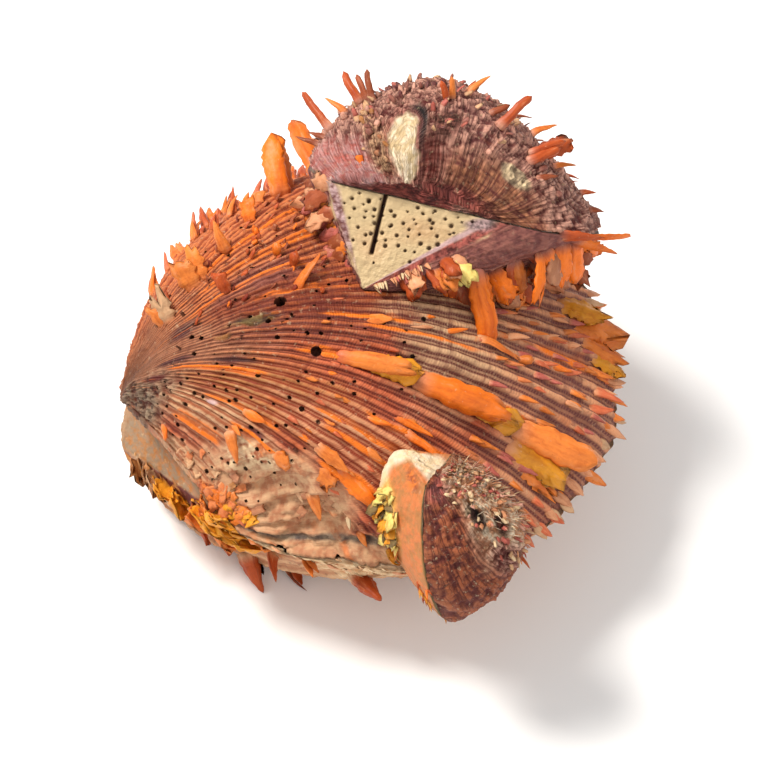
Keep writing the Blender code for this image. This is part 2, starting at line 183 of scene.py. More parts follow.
@dataclass(frozen=True)
class Outline:
    """A valve's margin, from its hinge's first end round to its second end."""

    points: tuple

    def even(self, count: int) -> np.ndarray:
        """Points spaced evenly along the smooth curve through the outline's own points.

        Args:
            count: how many, both ends included.

        Returns:
            Their plan places, one a row.
        """
        knots = np.array(self.points, float)
        padded = np.vstack((knots[:1], knots, knots[-1:]))
        spans = len(knots) - 1
        place = np.linspace(0, spans, CURVE_STEPS * len(knots) + 1)
        span = np.minimum(place.astype(int), spans - 1)
        t = (place - span)[:, None]
        before, start, end, after = (padded[span + step] for step in range(4))
        curve = 0.5 * (
            2 * start
            + (end - before) * t
            + (2 * before - 5 * start + 4 * end - after) * t**2
            + (3 * start - before - 3 * end + after) * t**3
        )
        run = np.concatenate(([0], np.cumsum(np.linalg.norm(np.diff(curve, axis=0), axis=1))))
        want = np.linspace(0, run[-1], count)
        return np.column_stack([np.interp(want, run, curve[:, axis]) for axis in (0, 1)])


@dataclass(frozen=True)
class Seat:
    """Where an oyster's own frame stands in the cluster: its origin, its X and roughly its Y.

    The lid is up in every frame. A riding oyster's hinge lies along X, from the origin both ways.
    The great oyster's frame is only raised to the plane where its valves meet.
    """

    origin: tuple
    right: tuple
    forward: tuple

    def matrix(self, gape: float = 0.0) -> Matrix:
        """Works out the move from the oyster's own frame to the cluster's.

        Args:
            gape: degrees that a lid stands open, turned about its own X.

        Returns:
            The move.
        """
        right = Vector(self.right).normalized()
        forward = Vector(self.forward)
        forward = (forward - right * forward.dot(right)).normalized()
        turn = Matrix((right, forward, right.cross(forward))).transposed().to_4x4()
        return Matrix.Translation(self.origin) @ turn @ Matrix.Rotation(math.radians(gape), 4, "X")


class SpineShape(Enum):
    """How a spine narrows along its length: width shares at its root, middle and end."""

    ROD = (0.95, 0.85, 0.75)
    CLAW = (1.0, 0.8, 0.18)
    SCALE = (0.7, 1.0, 0.2)
    TONGUE = (0.6, 1.0, 0.85)
    BLADE = (0.7, 0.95, 1.1)
    FRILL = (0.85, 1.0, 1.15)
    NEEDLE = (1.0, 0.6, 0.2)


@dataclass(frozen=True)
class Spine:
    """One spine, scale or frill, placed on a valve's fan and bent along its length."""

    across: float  # 0 at the outline's first end, 1 at its last
    growth: float  # 0 at the beak, 1 at the margin
    length: float
    width: float
    lift: float = 35.0  # degrees off the surface
    turn: float = 0.0  # degrees sideways, towards the outline's last end
    curl: float = 0.0  # degrees that it bends back down along its length
    shape: SpineShape = SpineShape.CLAW
    shade: Shade = Shade.ORANGE
    flat: float = 0.4  # thickness as a share of the width
    ragged: float = 0.0  # how torn its end is, as a share of its length


@dataclass(frozen=True)
class Scatter:
    """Many like spines strewn over part of a fan."""

    count: int
    across: tuple  # lowest and highest, here and below
    growth: tuple
    length: tuple
    width: tuple
    shades: tuple  # drawn from by chance
    lift: tuple = (15.0, 45.0)
    turn: tuple = (-25.0, 25.0)
    shape: SpineShape = SpineShape.CLAW
    flat: float = 0.45
    ragged: float = 0.0
    on_ribs: float = 0.0  # how many ribs apart they stand, or 0 for anywhere
    ribs: float = 0.0  # ribs in the whole fan

    def spines(self, dice: random.Random) -> list[Spine]:
        """Draws the spines.

        Args:
            dice: the seeded source of chance.

        Returns:
            The spines, in the order drawn.
        """
        drawn = []
        for _ in range(self.count):
            across = dice.uniform(*self.across)
            if self.on_ribs:
                across = round(across * self.ribs / self.on_ribs) * self.on_ribs / self.ribs
            drawn.append(
                Spine(
                    across,
                    dice.uniform(*self.growth),
                    dice.uniform(*self.length),
                    dice.uniform(*self.width),
                    dice.uniform(*self.lift),
                    dice.uniform(*self.turn),
                    dice.uniform(*CURLS),
                    self.shape,
                    dice.choice(self.shades),
                    self.flat,
                    self.ragged * dice.uniform(*TORN),
                )
            )
        return drawn


@dataclass(frozen=True)
class Patch:
    """A part of a fan that has its own colours and roughness, with a ragged edge."""

    across: float
    growth: float
    reach: tuple  # in across and in growth
    crest: Shade
    groove: Shade
    soft: float = 0.5  # width of its fading edge, in reaches
    ribs: float | None = None  # how tall the ribs stand
    crust: float | None = None  # how rough and speckled it is
    strength: float = 1.0


@dataclass(frozen=True)
class Streak:
    """An orange stain along a rib."""

    across: float
    start: float  # in growth
    end: float
    width: float = 0.012  # in across
    strength: float = 1.0


@dataclass(frozen=True)
class Step:
    """A growth step, where the surface drops past a torn edge and comes back slowly."""

    growth: float
    start: float  # in across
    end: float
    drop: float


@dataclass(frozen=True)
class Pit:
    """A hollow broken into the outer surface."""

    across: float
    growth: float
    width: float
    depth: float
    dark: float = 1.0  # painted shade in the hollow, from 0 to 1


@dataclass(frozen=True)
class Slit:
    """A straight cut along one line of the fan, such as an empty ligament groove."""

    across: float
    start: float
    end: float
    width: float
    depth: float


@dataclass(frozen=True)
class Bores:
    """Round holes that boring sponges left over part of a fan."""

    count: int
    across: tuple
    growth: tuple
    width: tuple
    depth: float = 1.6
    cut: bool = True  # or else pressed in, where the mesh is too slanted for round cuts


class Wire:
    """A number that runs between a material's nodes. Python's operators on it add Math nodes."""

    def __init__(self, paint: "Paint", socket: bpy.types.NodeSocket):
        """Wraps one output socket of the paint's nodes."""
        self.paint = paint
        self.socket = socket

    def _math(self, operation: str, *values: "Wire | float") -> "Wire":
        """One Math node on the values."""
        return self.paint.node("ShaderNodeMath", {"operation": operation}, values)

    def __add__(self, other: "Wire | float") -> "Wire":
        """The sum."""
        return self._math("ADD", self, other)

    def __sub__(self, other: "Wire | float") -> "Wire":
        """The difference."""
        return self._math("SUBTRACT", self, other)

    def __rsub__(self, other: "Wire | float") -> "Wire":
        """The difference, taken from a plain number."""
        return self._math("SUBTRACT", other, self)

    def __mul__(self, other: "Wire | float") -> "Wire":
        """The product."""
        return self._math("MULTIPLY", self, other)

    __radd__ = __add__
    __rmul__ = __mul__

    def highest(self, other: "Wire | float") -> "Wire":
        """The larger of the two."""
        return self._math("MAXIMUM", self, other)

    def wave(self, period: float = 1.0) -> "Wire":
        """A cosine between 0 and 1, highest at each whole period."""
        return self._math("COSINE", self * (math.tau / period)) * 0.5 + 0.5

    def rise(self, low: float, high: float) -> "Wire":
        """Rises smoothly from 0 at low to 1 at high."""
        return self.paint.node(
            "ShaderNodeMapRange",
            {"interpolation_type": "SMOOTHSTEP"},
            {"Value": self, "From Min": low, "From Max": high},
        )


class Paint:
    """Adds nodes to one material."""

    def __init__(self, name: str):
        """Starts a material that has only its shader and output.

        Args:
            name: the material's name.
        """
        self.material = bpy.data.materials.new(name)
        self.material.use_nodes = True
        self.tree = self.material.node_tree
        self.shader = self.tree.nodes["Principled BSDF"]

    def node(
        self, kind: str, settings: dict, values: dict | list | tuple, output: int | str = 0
    ) -> Wire:
        """Adds one node.

        Args:
            kind: the node's type.
            settings: its properties, set before its sockets.
            values: numbers, colours or wires for its inputs, by place or by name.
            output: which output the wire comes from.

        Returns:
            The wire from that output.
        """
        made = self.tree.nodes.new(kind)
        for name, value in settings.items():
            setattr(made, name, value)
        pairs = values.items() if isinstance(values, dict) else enumerate(values)
        for key, value in pairs:
            self._feed(made.inputs[key], value)
        return Wire(self, made.outputs[output])

    def _feed(self, socket: bpy.types.NodeSocket, value: Wire | Shade | float | tuple) -> None:
        """Links a wire to a socket, or sets the socket to a value."""
        if isinstance(value, Wire):
            self.tree.links.new(value.socket, socket)
        else:
            socket.default_value = (*value.linear, 1) if isinstance(value, Shade) else value

    def where(self) -> Wire:
        """The place on the object, in metres."""
        return self.node("ShaderNodeTexCoord", {}, {}, "Object")

    def attribute(self, name: str, output: str = "Color") -> Wire:
        """A value that the mesh carries at its points."""
        return self.node("ShaderNodeAttribute", {"attribute_name": name}, {}, output)

    def split(self, vector: Wire) -> tuple[Wire, ...]:
        """The three numbers of a vector."""
        made = self.node("ShaderNodeSeparateXYZ", {}, [vector])
        return tuple(Wire(self, socket) for socket in made.socket.node.outputs)

    def place(self, *numbers: Wire | float) -> Wire:
        """A place made of three numbers, for noise that is drawn out along one of them."""
        return self.node("ShaderNodeCombineXYZ", {}, numbers)

    def noise(
        self, scale: float, detail: float = 3.0, rough: float = 0.55, at: Wire | None = None
    ) -> Wire:
        """Cloudy noise.

        Args:
            scale: lumps per metre, or per unit of the given place.
            detail: layers of finer noise.
            rough: how strong they are.
            at: where it is read, or None for the place on the object.

        Returns:
            Numbers from 0 to 1.
        """
        values = {"Vector": at or self.where(), "Scale": scale, "Detail": detail, "Roughness": rough}
        return self.node("ShaderNodeTexNoise", {}, values)

    def cells(self, scale: float) -> Wire:
        """Distance to the nearest of many scattered points, in cell sizes."""
        values = {"Vector": self.where(), "Scale": scale}
        return self.node("ShaderNodeTexVoronoi", {}, values, "Distance")

    def mix(self, first: Wire | Shade, second: Wire | Shade, factor: Wire | float) -> Wire:
        """Blends two colours.

        Args:
            first: the colour at factor 0, as a wire or a Shade.
            second: the colour at factor 1.
            factor: a number or a wire.

        Returns:
            The blended colour.
        """
        made = self.tree.nodes.new("ShaderNodeMix")
        made.data_type = "RGBA"
        colours = [socket for socket in made.inputs if socket.type == "RGBA"]
        for socket, value in zip((made.inputs[0], *colours), (factor, first, second)):
            self._feed(socket, value)
        return Wire(self, next(socket for socket in made.outputs if socket.type == "RGBA"))

    def finish(
        self, colour: Wire, roughness: Wire, height: Wire, depth: float, coat: float
    ) -> bpy.types.Material:
        """Joins the pattern to the shader.

        Args:
            colour: the surface's colour.
            roughness: how dull it is, from 0 to 1.
            height: its fine relief, from 0 to 1.
            depth: millimetres that a height of 1 stands up.
            coat: strength of a clear gloss.

        Returns:
            The material.
        """
        bump = self.node("ShaderNodeBump", {}, {"Height": height, "Distance": depth * MM})
        fed = {
            "Base Color": colour,
            "Roughness": roughness,
            "Normal": bump,
            "Specular IOR Level": SHEEN,
            "Coat Weight": coat,
            "Coat Roughness": COAT_ROUGHNESS,
        }
        for name, value in fed.items():
            self._feed(self.shader.inputs[name], value)
        return self.material


@dataclass(frozen=True)
class ShellFinish:
    """Dry shell: pale rib crests and dark grooves crossed by fine threads, stained and speckled. The
    crests and grooves are partly its own colours and partly painted highlight and painted shade, and
    its pores and holes are darkened with painted shade.
    """

    name: str
    stain: Shade = Shade.ORANGE
    thread: float = 0.8  # millimetres from one cross thread to the next
    threads: float = 0.5  # how strongly they show
    rings: float = 0.15  # how strongly growth layers darken it
    warmth: float = 0.5  # how much of the stain lies along the ribs
    speckle: float = 0.35  # how strongly it is speckled
    pores: float = 1.0  # how deep the pores of its crust are, and how dark with painted shade
    depth: float = 0.45  # of the fine relief, in millimetres
    dull: float = 0.55  # lowest roughness
    coat: float = 0.05

    def material(self) -> bpy.types.Material:
        """Builds the material.

        Returns:
            A material that reads the fan, crest, groove and marks of the mesh.
        """
        paint = Paint(self.name)
        rib, run, lift = paint.split(paint.attribute("fan", "Vector"))
        crest = paint.attribute("crest")
        groove = paint.attribute("groove")
        stain, ribs, hole = paint.split(paint.attribute("marks"))
        crust = paint.attribute("marks", "Alpha")
        cloud = paint.noise(70, 4)
        fine = paint.noise(700, 4, 0.65)
        grit = paint.noise(2200, 2, 0.6)
        wobble = paint.noise(160, 3) - 0.5
        band = paint.noise(1.0, 4, 0.6, paint.place(rib * 0.06, run * 0.32, 0.0))
        strand = paint.noise(1.0, 3, 0.6, paint.place(rib * 0.9, run * 0.06, 0.0))
        warm = paint.noise(1.0, 3, 0.6, paint.place(rib * 0.45 + 31, run * 0.05 + wobble, 0.0))
        layer = paint.noise(1.0, 4, 0.65, paint.place(rib * 0.16, run * 1.3 + wobble * 3, 0.0))

        ridge = (rib + wobble * 0.3).wave().rise(0.3, 0.95)
        riblet = (rib + 0.5 + wobble * 0.2).wave().rise(0.86, 0.99)
        thread = (run + wobble * 1.6).wave(self.thread)
        lined = ridge * (0.7 + fine * 0.6)
        lined = lined.highest(riblet * 0.5).highest(thread * (1 - ridge) * self.threads * band)
        rough = (lift * 0.75 + fine * 0.95 - 0.35).rise(0.1, 0.85)
        amount = (ribs * (1 - crust)).rise(0.0, 0.7)
        # crest colour on rib tops and high lumps, groove colour in grooves and hollows: partly the
        # shell's own colours, partly painted highlight on the tops and painted shade in the grooves
        # and hollows
        light = lined * amount + rough * (1 - amount)
        colour = paint.mix(groove, crest, light)
        colour = paint.mix(colour, groove, band.rise(0.5, 0.72) * 0.55)
        colour = paint.mix(colour, groove, strand.rise(0.5, 0.72) * 0.6 * amount)
        colour = paint.mix(colour, Shade.SAND, strand.rise(0.46, 0.28) * ridge * 0.35 * amount)
        ring = layer.rise(0.48, 0.62) * (1 - hole)
        colour = paint.mix(colour, groove, ring * self.rings)
        colour = paint.mix(colour, self.stain, warm.rise(0.54, 0.72) * self.warmth * ridge)
        colour = paint.mix(colour, groove, cloud.rise(0.52, 0.75) * 0.45)
        stained = (stain * (0.45 + ridge * 0.7) * (0.55 + cloud * 0.8)).rise(0.1, 0.75)
        colour = paint.mix(colour, self.stain, stained)
        colour = paint.mix(colour, Shade.UMBER, fine.rise(0.58, 0.76) * self.speckle * (0.5 + crust))
        colour = paint.mix(colour, Shade.CREAM, fine.rise(0.42, 0.26) * self.speckle)
        # painted shade in the crust's pores
        pores = paint.cells(520).rise(0.34, 0.2) * crust * self.pores
        colour = paint.mix(colour, Shade.UMBER, pores * 0.8)
        # painted shade in the holes, pits and slits, and a faint brown on the rims of cut holes
        colour = paint.mix(colour, Shade.UMBER, hole)

        height = ridge * 0.35 * amount + riblet * 0.15 * amount + thread * 0.14 * amount
        height = height + fine * 0.5 + grit * 0.25 + crust * fine * 0.9 - pores * 0.5
        height = height - ring * self.rings * 0.6
        roughness = self.dull + fine * 0.2 - stained * 0.12 + hole * 0.2
        return paint.finish(colour, roughness, height, self.depth, self.coat)


@dataclass(frozen=True)
class SpineFinish:
    """Waxy spines: streaked lengthwise, paler ridges and darker specks."""

    name: str
    depth: float = 0.3  # of the fine relief, in millimetres
    dull: float = 0.42  # lowest roughness
    coat: float = 0.1

    def material(self) -> bpy.types.Material:
        """Builds the material.

        Returns:
            A material that reads the fan, crest and groove of the mesh.
        """
        paint = Paint(self.name)
        turn, along, _ = paint.split(paint.attribute("fan", "Vector"))
        crest = paint.attribute("crest")
        groove = paint.attribute("groove")
        cloud = paint.noise(240, 3)
        fine = paint.noise(1100, 3, 0.6)
        streak = paint.noise(1.0, 3, 0.6, paint.place(turn * 9.0, along * 2.2, cloud))
        line = (along * 14.0 + cloud * 3.0).wave()

        colour = paint.mix(crest, groove, streak.rise(0.45, 0.72) * 0.75)
        colour = paint.mix(colour, Shade.PEACH, streak.rise(0.44, 0.28) * 0.45)
        colour = paint.mix(colour, groove, cloud.rise(0.55, 0.75) * 0.5)
        colour = paint.mix(colour, Shade.BRICK, fine.rise(0.62, 0.8) * 0.5)
        colour = paint.mix(colour, Shade.CREAM, fine.rise(0.36, 0.22) * 0.35)

        height = streak * 0.8 + line * 0.08 + fine * 0.35
        roughness = self.dull + fine * 0.25
        return paint.finish(colour, roughness, height, self.depth, self.coat)


class Surface:
    """The outer surface of a valve, as a grid of points: a ring for each stage of growth."""

    def __init__(self, valve: "Valve"):
        """Lays the valve's smooth surface, then pushes it out by the valve's fine relief.

        Args:
            valve: the valve that the surface belongs to.
        """
        self.valve = valve
        hinge = round(valve.columns * valve.hinge_share)
        self.fan = valve.columns - hinge
        rim = valve.outline.even(self.fan + 1)
        part = np.linspace(0, 1, hinge + 1)[1:-1, None]
        self.margin = np.vstack((rim, rim[-1] * (1 - part) + rim[0] * part))
        self.foot = np.array(valve.beak[:2], float)
        self.middle = self.margin.mean(0)
        self.column = np.arange(valve.columns)
        self.across = self.column / self.fan
        self.growth = np.linspace(0, 1, valve.rows + 1) ** RING_POWER
        self.whole = valve.columns / self.fan
        self.smooth = self._smooth()
        self.outward = self._outward(self.smooth)
        self.marks = np.zeros((*self.smooth.shape[:2], 4))
        self.crest = np.zeros_like(self.smooth)
        self.groove = np.zeros_like(self.smooth)
        self.ribs = np.ones(self.smooth.shape[:2])
        self.lift = np.zeros(self.smooth.shape[:2])
        self._paint()
        self.place = self._push(valve.relief(self))

    def _smooth(self) -> np.ndarray:
        """Lays the surface with no ribs: straight lines from beak to margin, raised into a dome.

        Returns:
            The points, by ring and column.
        """
        valve = self.valve
        away = np.linalg.norm(self.margin - self.foot, axis=1)
        ends = np.minimum(self.column, self.fan - self.column) / self.fan
        rise = HINGE_SWELL + (1 - HINGE_SWELL) * smooth_step(0.0, valve.shoulder, ends)
        swell = valve.dome * (away / away.max()) ** REACH_POWER * rise * (self.column <= self.fan)
        growth = self.growth[:, None]
        arch = np.maximum(np.sin(math.pi * growth**valve.crown), 0) ** valve.roundness
        bulge = swell * arch
        plan = self.foot * (1 - growth[..., None]) + self.margin * growth[..., None]
        height = valve.beak[2] * (1 - growth) + bulge + GAP / 2
        return np.dstack((plan[..., 0] + valve.lean * bulge, plan[..., 1], valve.side * height))

    def _outward(self, place: np.ndarray) -> np.ndarray:
        """Finds the directions out of a surface.

        Args:
            place: its points, by ring and column.

        Returns:
            A unit direction for each point.
        """
        along = np.gradient(place, axis=0)
        sideways = np.roll(place, -1, axis=1) - np.roll(place, 1, axis=1)
        found = np.cross(along, sideways)
        found /= np.maximum(np.linalg.norm(found, axis=2, keepdims=True), 1e-9)
        if (found[1:, :, 2].mean() > 0) != (self.valve.side > 0):
            found = -found
        found[0] = (0, 0, self.valve.side)
        return found

    def _paint(self) -> None:
        """Lays the base colours, then every patch and streak over them."""
        valve = self.valve
        self.crest[:] = valve.crest.linear
        self.groove[:] = valve.groove.linear
        self.marks[..., 3] = valve.crust
        self.ribs[:] = valve.ribbed
        edge = rumple(self.smooth, 0.12, 3, 7.0)
        growth = self.growth[:, None]
        for patch in valve.patches:
            far = self.apart(patch.across) / patch.reach[0]
            near = (growth - patch.growth) / patch.reach[1]
            away = np.sqrt(far**2 + near**2) + edge * EDGE_WAVER
            mask = patch.strength * (1 - smooth_step(1 - patch.soft, 1 + patch.soft, away))
            cover = mask[..., None]
            self.crest = self.crest * (1 - cover) + patch.crest.linear * cover
            self.groove = self.groove * (1 - cover) + patch.groove.linear * cover
            if patch.crust is not None:
                self.marks[..., 3] = self.marks[..., 3] * (1 - mask) + patch.crust * mask
            if patch.ribs is not None:
                self.ribs = self.ribs * (1 - mask) + patch.ribs * mask
        for streak in valve.streaks:
            wide = 1 - smooth_step(0.3, 1.0, self.apart(streak.across + edge * 0.004) / streak.width)
            long = smooth_step(streak.start - 0.04, streak.start + 0.02, growth)
            long = long * (1 - smooth_step(streak.end - 0.02, streak.end + 0.05, growth))
            self.marks[..., 0] = np.maximum(self.marks[..., 0], wide * long * streak.strength)

    def apart(self, across: float | np.ndarray) -> np.ndarray:
        """How far each column lies from a place on the fan, the shorter way round."""
        gap = np.abs(self.across - across)
        return np.minimum(gap, self.whole - gap)

    def spot(self, across: float, growth: float) -> np.ndarray:
        """Distance in millimetres of every point from one place of the smooth surface."""
        return np.linalg.norm(self.smooth - self.smooth[self.nearest(across, growth)], axis=2)

    def nearest(self, across: float, growth: float) -> tuple[int, int]:
        """The ring and column nearest to a place on the fan."""
        ring = int(np.abs(self.growth - growth).argmin())
        return ring, round(across * self.fan) % self.valve.columns

    def _push(self, push: np.ndarray) -> np.ndarray:
        """Moves the points out. The margin moves only in its plane, and a cup ends at its floor.

        Args:
            push: millimetres outward, by ring and column.

        Returns:
            The moved points.
        """
        valve = self.valve
        way = self.outward.copy()
        way[-1, :, 2] = 0
        way[-1] /= np.maximum(np.linalg.norm(way[-1], axis=1, keepdims=True), 1e-9)
        place = self.smooth + way * push[..., None]
        place[0] = place[0].mean(0)
        place[-1, :, 2] = valve.side * GAP / 2
        place[..., 2] = valve.side * np.maximum(valve.side * place[..., 2], GAP / 2)
        if valve.floor is not None:
            place[..., 2] = np.maximum(place[..., 2], -valve.floor)
        return place

    def frame_at(self, across: float, growth: float) -> tuple[Vector, Vector, Vector, Vector]:
        """Finds where a spine stands.

        Args:
            across: its place on the fan.
            growth: its place from the beak to the margin.

        Returns:
            The place, and the directions of growth, across the fan and out of the shell.
        """
        ring, column = self._inner(across, growth)
        outward = Vector(self.outward[ring, column])
        along = Vector(self.smooth[ring + STRIDE, column] - self.smooth[ring - STRIDE, column])
        along = (along - outward * along.dot(outward)).normalized()
        beside = (column + STRIDE) % self.valve.columns
        aside = Vector(self.smooth[ring, beside] - self.smooth[ring, column - STRIDE])
        aside = aside - outward * aside.dot(outward)
        aside = (aside - along * aside.dot(along)).normalized()
        return Vector(self.place[ring, column]), along, aside, outward

    def colour_at(self, across: float, growth: float) -> np.ndarray:
        """The shell's own colour where a spine stands."""
        return self.crest[self._inner(across, growth)]

    def _inner(self, across: float, growth: float) -> tuple[int, int]:
        """The ring and column nearest to a place, clear of the beak and the margin."""
        ring, column = self.nearest(across, growth)
        return min(max(ring, STRIDE), len(self.growth) - STRIDE - 1), column


class Thorns:
    """The spines of one valve, gathered in one mesh."""

    def __init__(self, surface: Surface, dice: random.Random):
        """Starts an empty mesh that carries the same values at its points as the shell does.

        Args:
            surface: the valve's outer surface, on which the spines stand.
            dice: the seeded source of chance.
        """
        self.surface = surface
        self.dice = dice
        self.mesh = bmesh.new()
        self.part = bpy.data.meshes.new("spine")
        add_layers(self.mesh)

    def grow(self, spine: Spine) -> None:
        """Rolls a skin along a bent line, with one end sunk in the shell and the other its tip.

        Args:
            spine: the spine to add to the mesh.
        """
        segments, rings = self._fineness(spine)
        mesh = bmesh.new()
        layers = add_layers(mesh)
        base, along, across, outward = self.surface.frame_at(spine.across, spine.growth)
        root_colour = self.surface.colour_at(spine.across, spine.growth)
        turn = math.radians(spine.turn)
        forward = along * math.cos(turn) + across * math.sin(turn)
        sideways = across * math.cos(turn) - along * math.sin(turn)
        line = self._centre_line(spine, base, forward, outward, rings)
        phase = self.dice.uniform(0, 10)
        body = spine.shade.linear * self.dice.uniform(*BRIGHTNESS)
        for (ring, column), vert in roll(mesh, segments, rings).items():
            angle = 2 * math.pi * column / segments
            share = ring / rings
            centre, way, up = line[ring]
            side, rise = math.cos(angle), math.sin(angle)
            wide = self._half_width(spine, share) if 0 < ring < rings else 0
            thick = wide * spine.flat * (1 - 0.7 * share**2 * (spine.flat < 0.5))
            furrow = FURROW * wide * math.cos(side * (5 + 1.1 * spine.width) + phase)
            teeth = noise.noise(Vector((side * (1.6 + 0.32 * spine.width), phase, 0.3)))
            torn = teeth * spine.ragged * spine.length * share**3 * TEAR
            bend = noise.noise(Vector((share * 2.5, phase, 3.0))) * BEND * spine.length * share
            wave = noise.noise(Vector((share * 3.5, side * 1.2, phase))) * WAVE * wide * share
            lip = LIP * wide * side * side * (1 - spine.flat)
            vert.co = (
                centre
                + sideways * (side * wide + bend)
                + up * (rise * thick - lip + furrow + wave)
                + way * torn
            )
            mix = float(smooth_step(*ROOT_TINT, share))
            tint = root_colour * (1 - mix) + body * mix
            fan = (column / segments + phase, share, 0)
            set_layers(vert, layers, fan, tint, tint * SHADED, NO_MARKS)
        mesh.to_mesh(self.part)
        mesh.free()
        self.mesh.from_mesh(self.part)

    def _fineness(self, spine: Spine) -> tuple[int, int]:
        """Sides and rings of a spine's skin, more for a larger spine."""
        size = spine.length + spine.width * (1 + spine.ragged)
        return next(sides for least, sides in FINENESS if size > least)

    def _half_width(self, spine: Spine, share: float) -> float:
        """Shapes a spine's outline.

        Args:
            spine: the spine.
            share: how far along it, from its root at 0 to its tip at 1.

        Returns:
            Half its width there.
        """
        root, middle, end = spine.shape.value
        if share < 0.5:
            width = root + (middle - root) * share * 2
        else:
            width = middle + (end - middle) * (share - 0.5) * 2
        flare = FLARE * math.sin(math.radians(spine.lift)) * math.exp(-share / 0.12)
        notch = 1 + (NOTCH + 0.3 * spine.ragged) * math.cos(share * spine.length * 2.4)
        close = math.sqrt(max(1 - max((share - CLOSING) / 0.22, 0) ** 2, 0.03))
        return spine.width / 2 * (width + flare) * notch * close

    def _centre_line(
        self, spine: Spine, base: Vector, forward: Vector, outward: Vector, rings: int
    ) -> list[tuple[Vector, Vector, Vector]]:
        """Bends a spine's middle line.

        Args:
            spine: the spine.
            base: where it stands.
            forward: the way along the shell that it leans.
            outward: the way out of the shell.
            rings: steps along it.

        Returns:
            For each ring its middle, the way on and the direction of its upper side.
        """
        start = base - outward * min(1.0, ROOT_DEPTH * spine.length)
        step = (spine.length + 1.2) / rings
        line = []
        for ring in range(rings + 1):
            share = ring / rings
            steep = spine.lift * (1 + 0.7 * (1 - share) ** 3)
            lift = math.radians(steep - spine.curl * share)
            way = forward * math.cos(lift) + outward * math.sin(lift)
            up = outward * math.cos(lift) - forward * math.sin(lift)
            line.append((start, way, up))
            start = start + way * step
        return line


def roll(mesh: bmesh.types.BMesh, columns: int, rings: int) -> dict[tuple, bmesh.types.BMVert]:
    """Rolls a flat grid into a closed skin: its sides meet, and each end is drawn to a point.

    Args:
        mesh: an empty mesh.
        columns: faces around the skin.
        rings: faces from one end to the other.

    Returns:
        The points by ring and column. The ends, ring 0 and the last, have one point each.
    """
    flat = bmesh.ops.create_grid(mesh, x_segments=columns, y_segments=rings, size=1)["verts"]
    grid = {}
    for vert in flat:
        ring = round((vert.co.y + 1) / 2 * rings)
        grid[ring, round((vert.co.x + 1) / 2 * columns)] = vert
    kept = {}
    merged = {}
    for (ring, column), vert in grid.items():
        home = (ring, 0 if ring in (0, rings) else column % columns)
        if home == (ring, column):
            kept[home] = vert
        else:
            merged[vert] = grid[home]
    bmesh.ops.weld_verts(mesh, targetmap=merged)
    return kept


def add_layers(mesh: bmesh.types.BMesh) -> tuple[bmesh.types.BMLayerItem, ...]:
    """Adds the values that the finishes read at each point.

    Args:
        mesh: the mesh to add them to.

    Returns:
        The layers of the fan, crest, groove and marks.
    """
    colours = mesh.verts.layers.float_color
    fan = mesh.verts.layers.float_vector.new("fan")
    return (fan, *(colours.new(name) for name in ("crest", "groove", "marks")))


def set_layers(
    vert: bmesh.types.BMVert,
    layers: tuple[bmesh.types.BMLayerItem, ...],
    fan: tuple,
    crest: np.ndarray,
    groove: np.ndarray,
    marks: np.ndarray | tuple,
) -> None:
    """Sets one point's values.

    Args:
        vert: the point.
        layers: what add_layers returned for its mesh.
        fan: its rib's number, its growth and its lift, or a spine's turn and share.
        crest: linear colour of the high places.
        groove: linear colour of the low ones.
        marks: stain, ribs, hole and crust, from 0 to 1, where hole is painted shade in holes, pits
            and slits.
    """
    vert[layers[0]] = fan
    vert[layers[1]] = (*crest, 1)
    vert[layers[2]] = (*groove, 1)
    vert[layers[3]] = marks


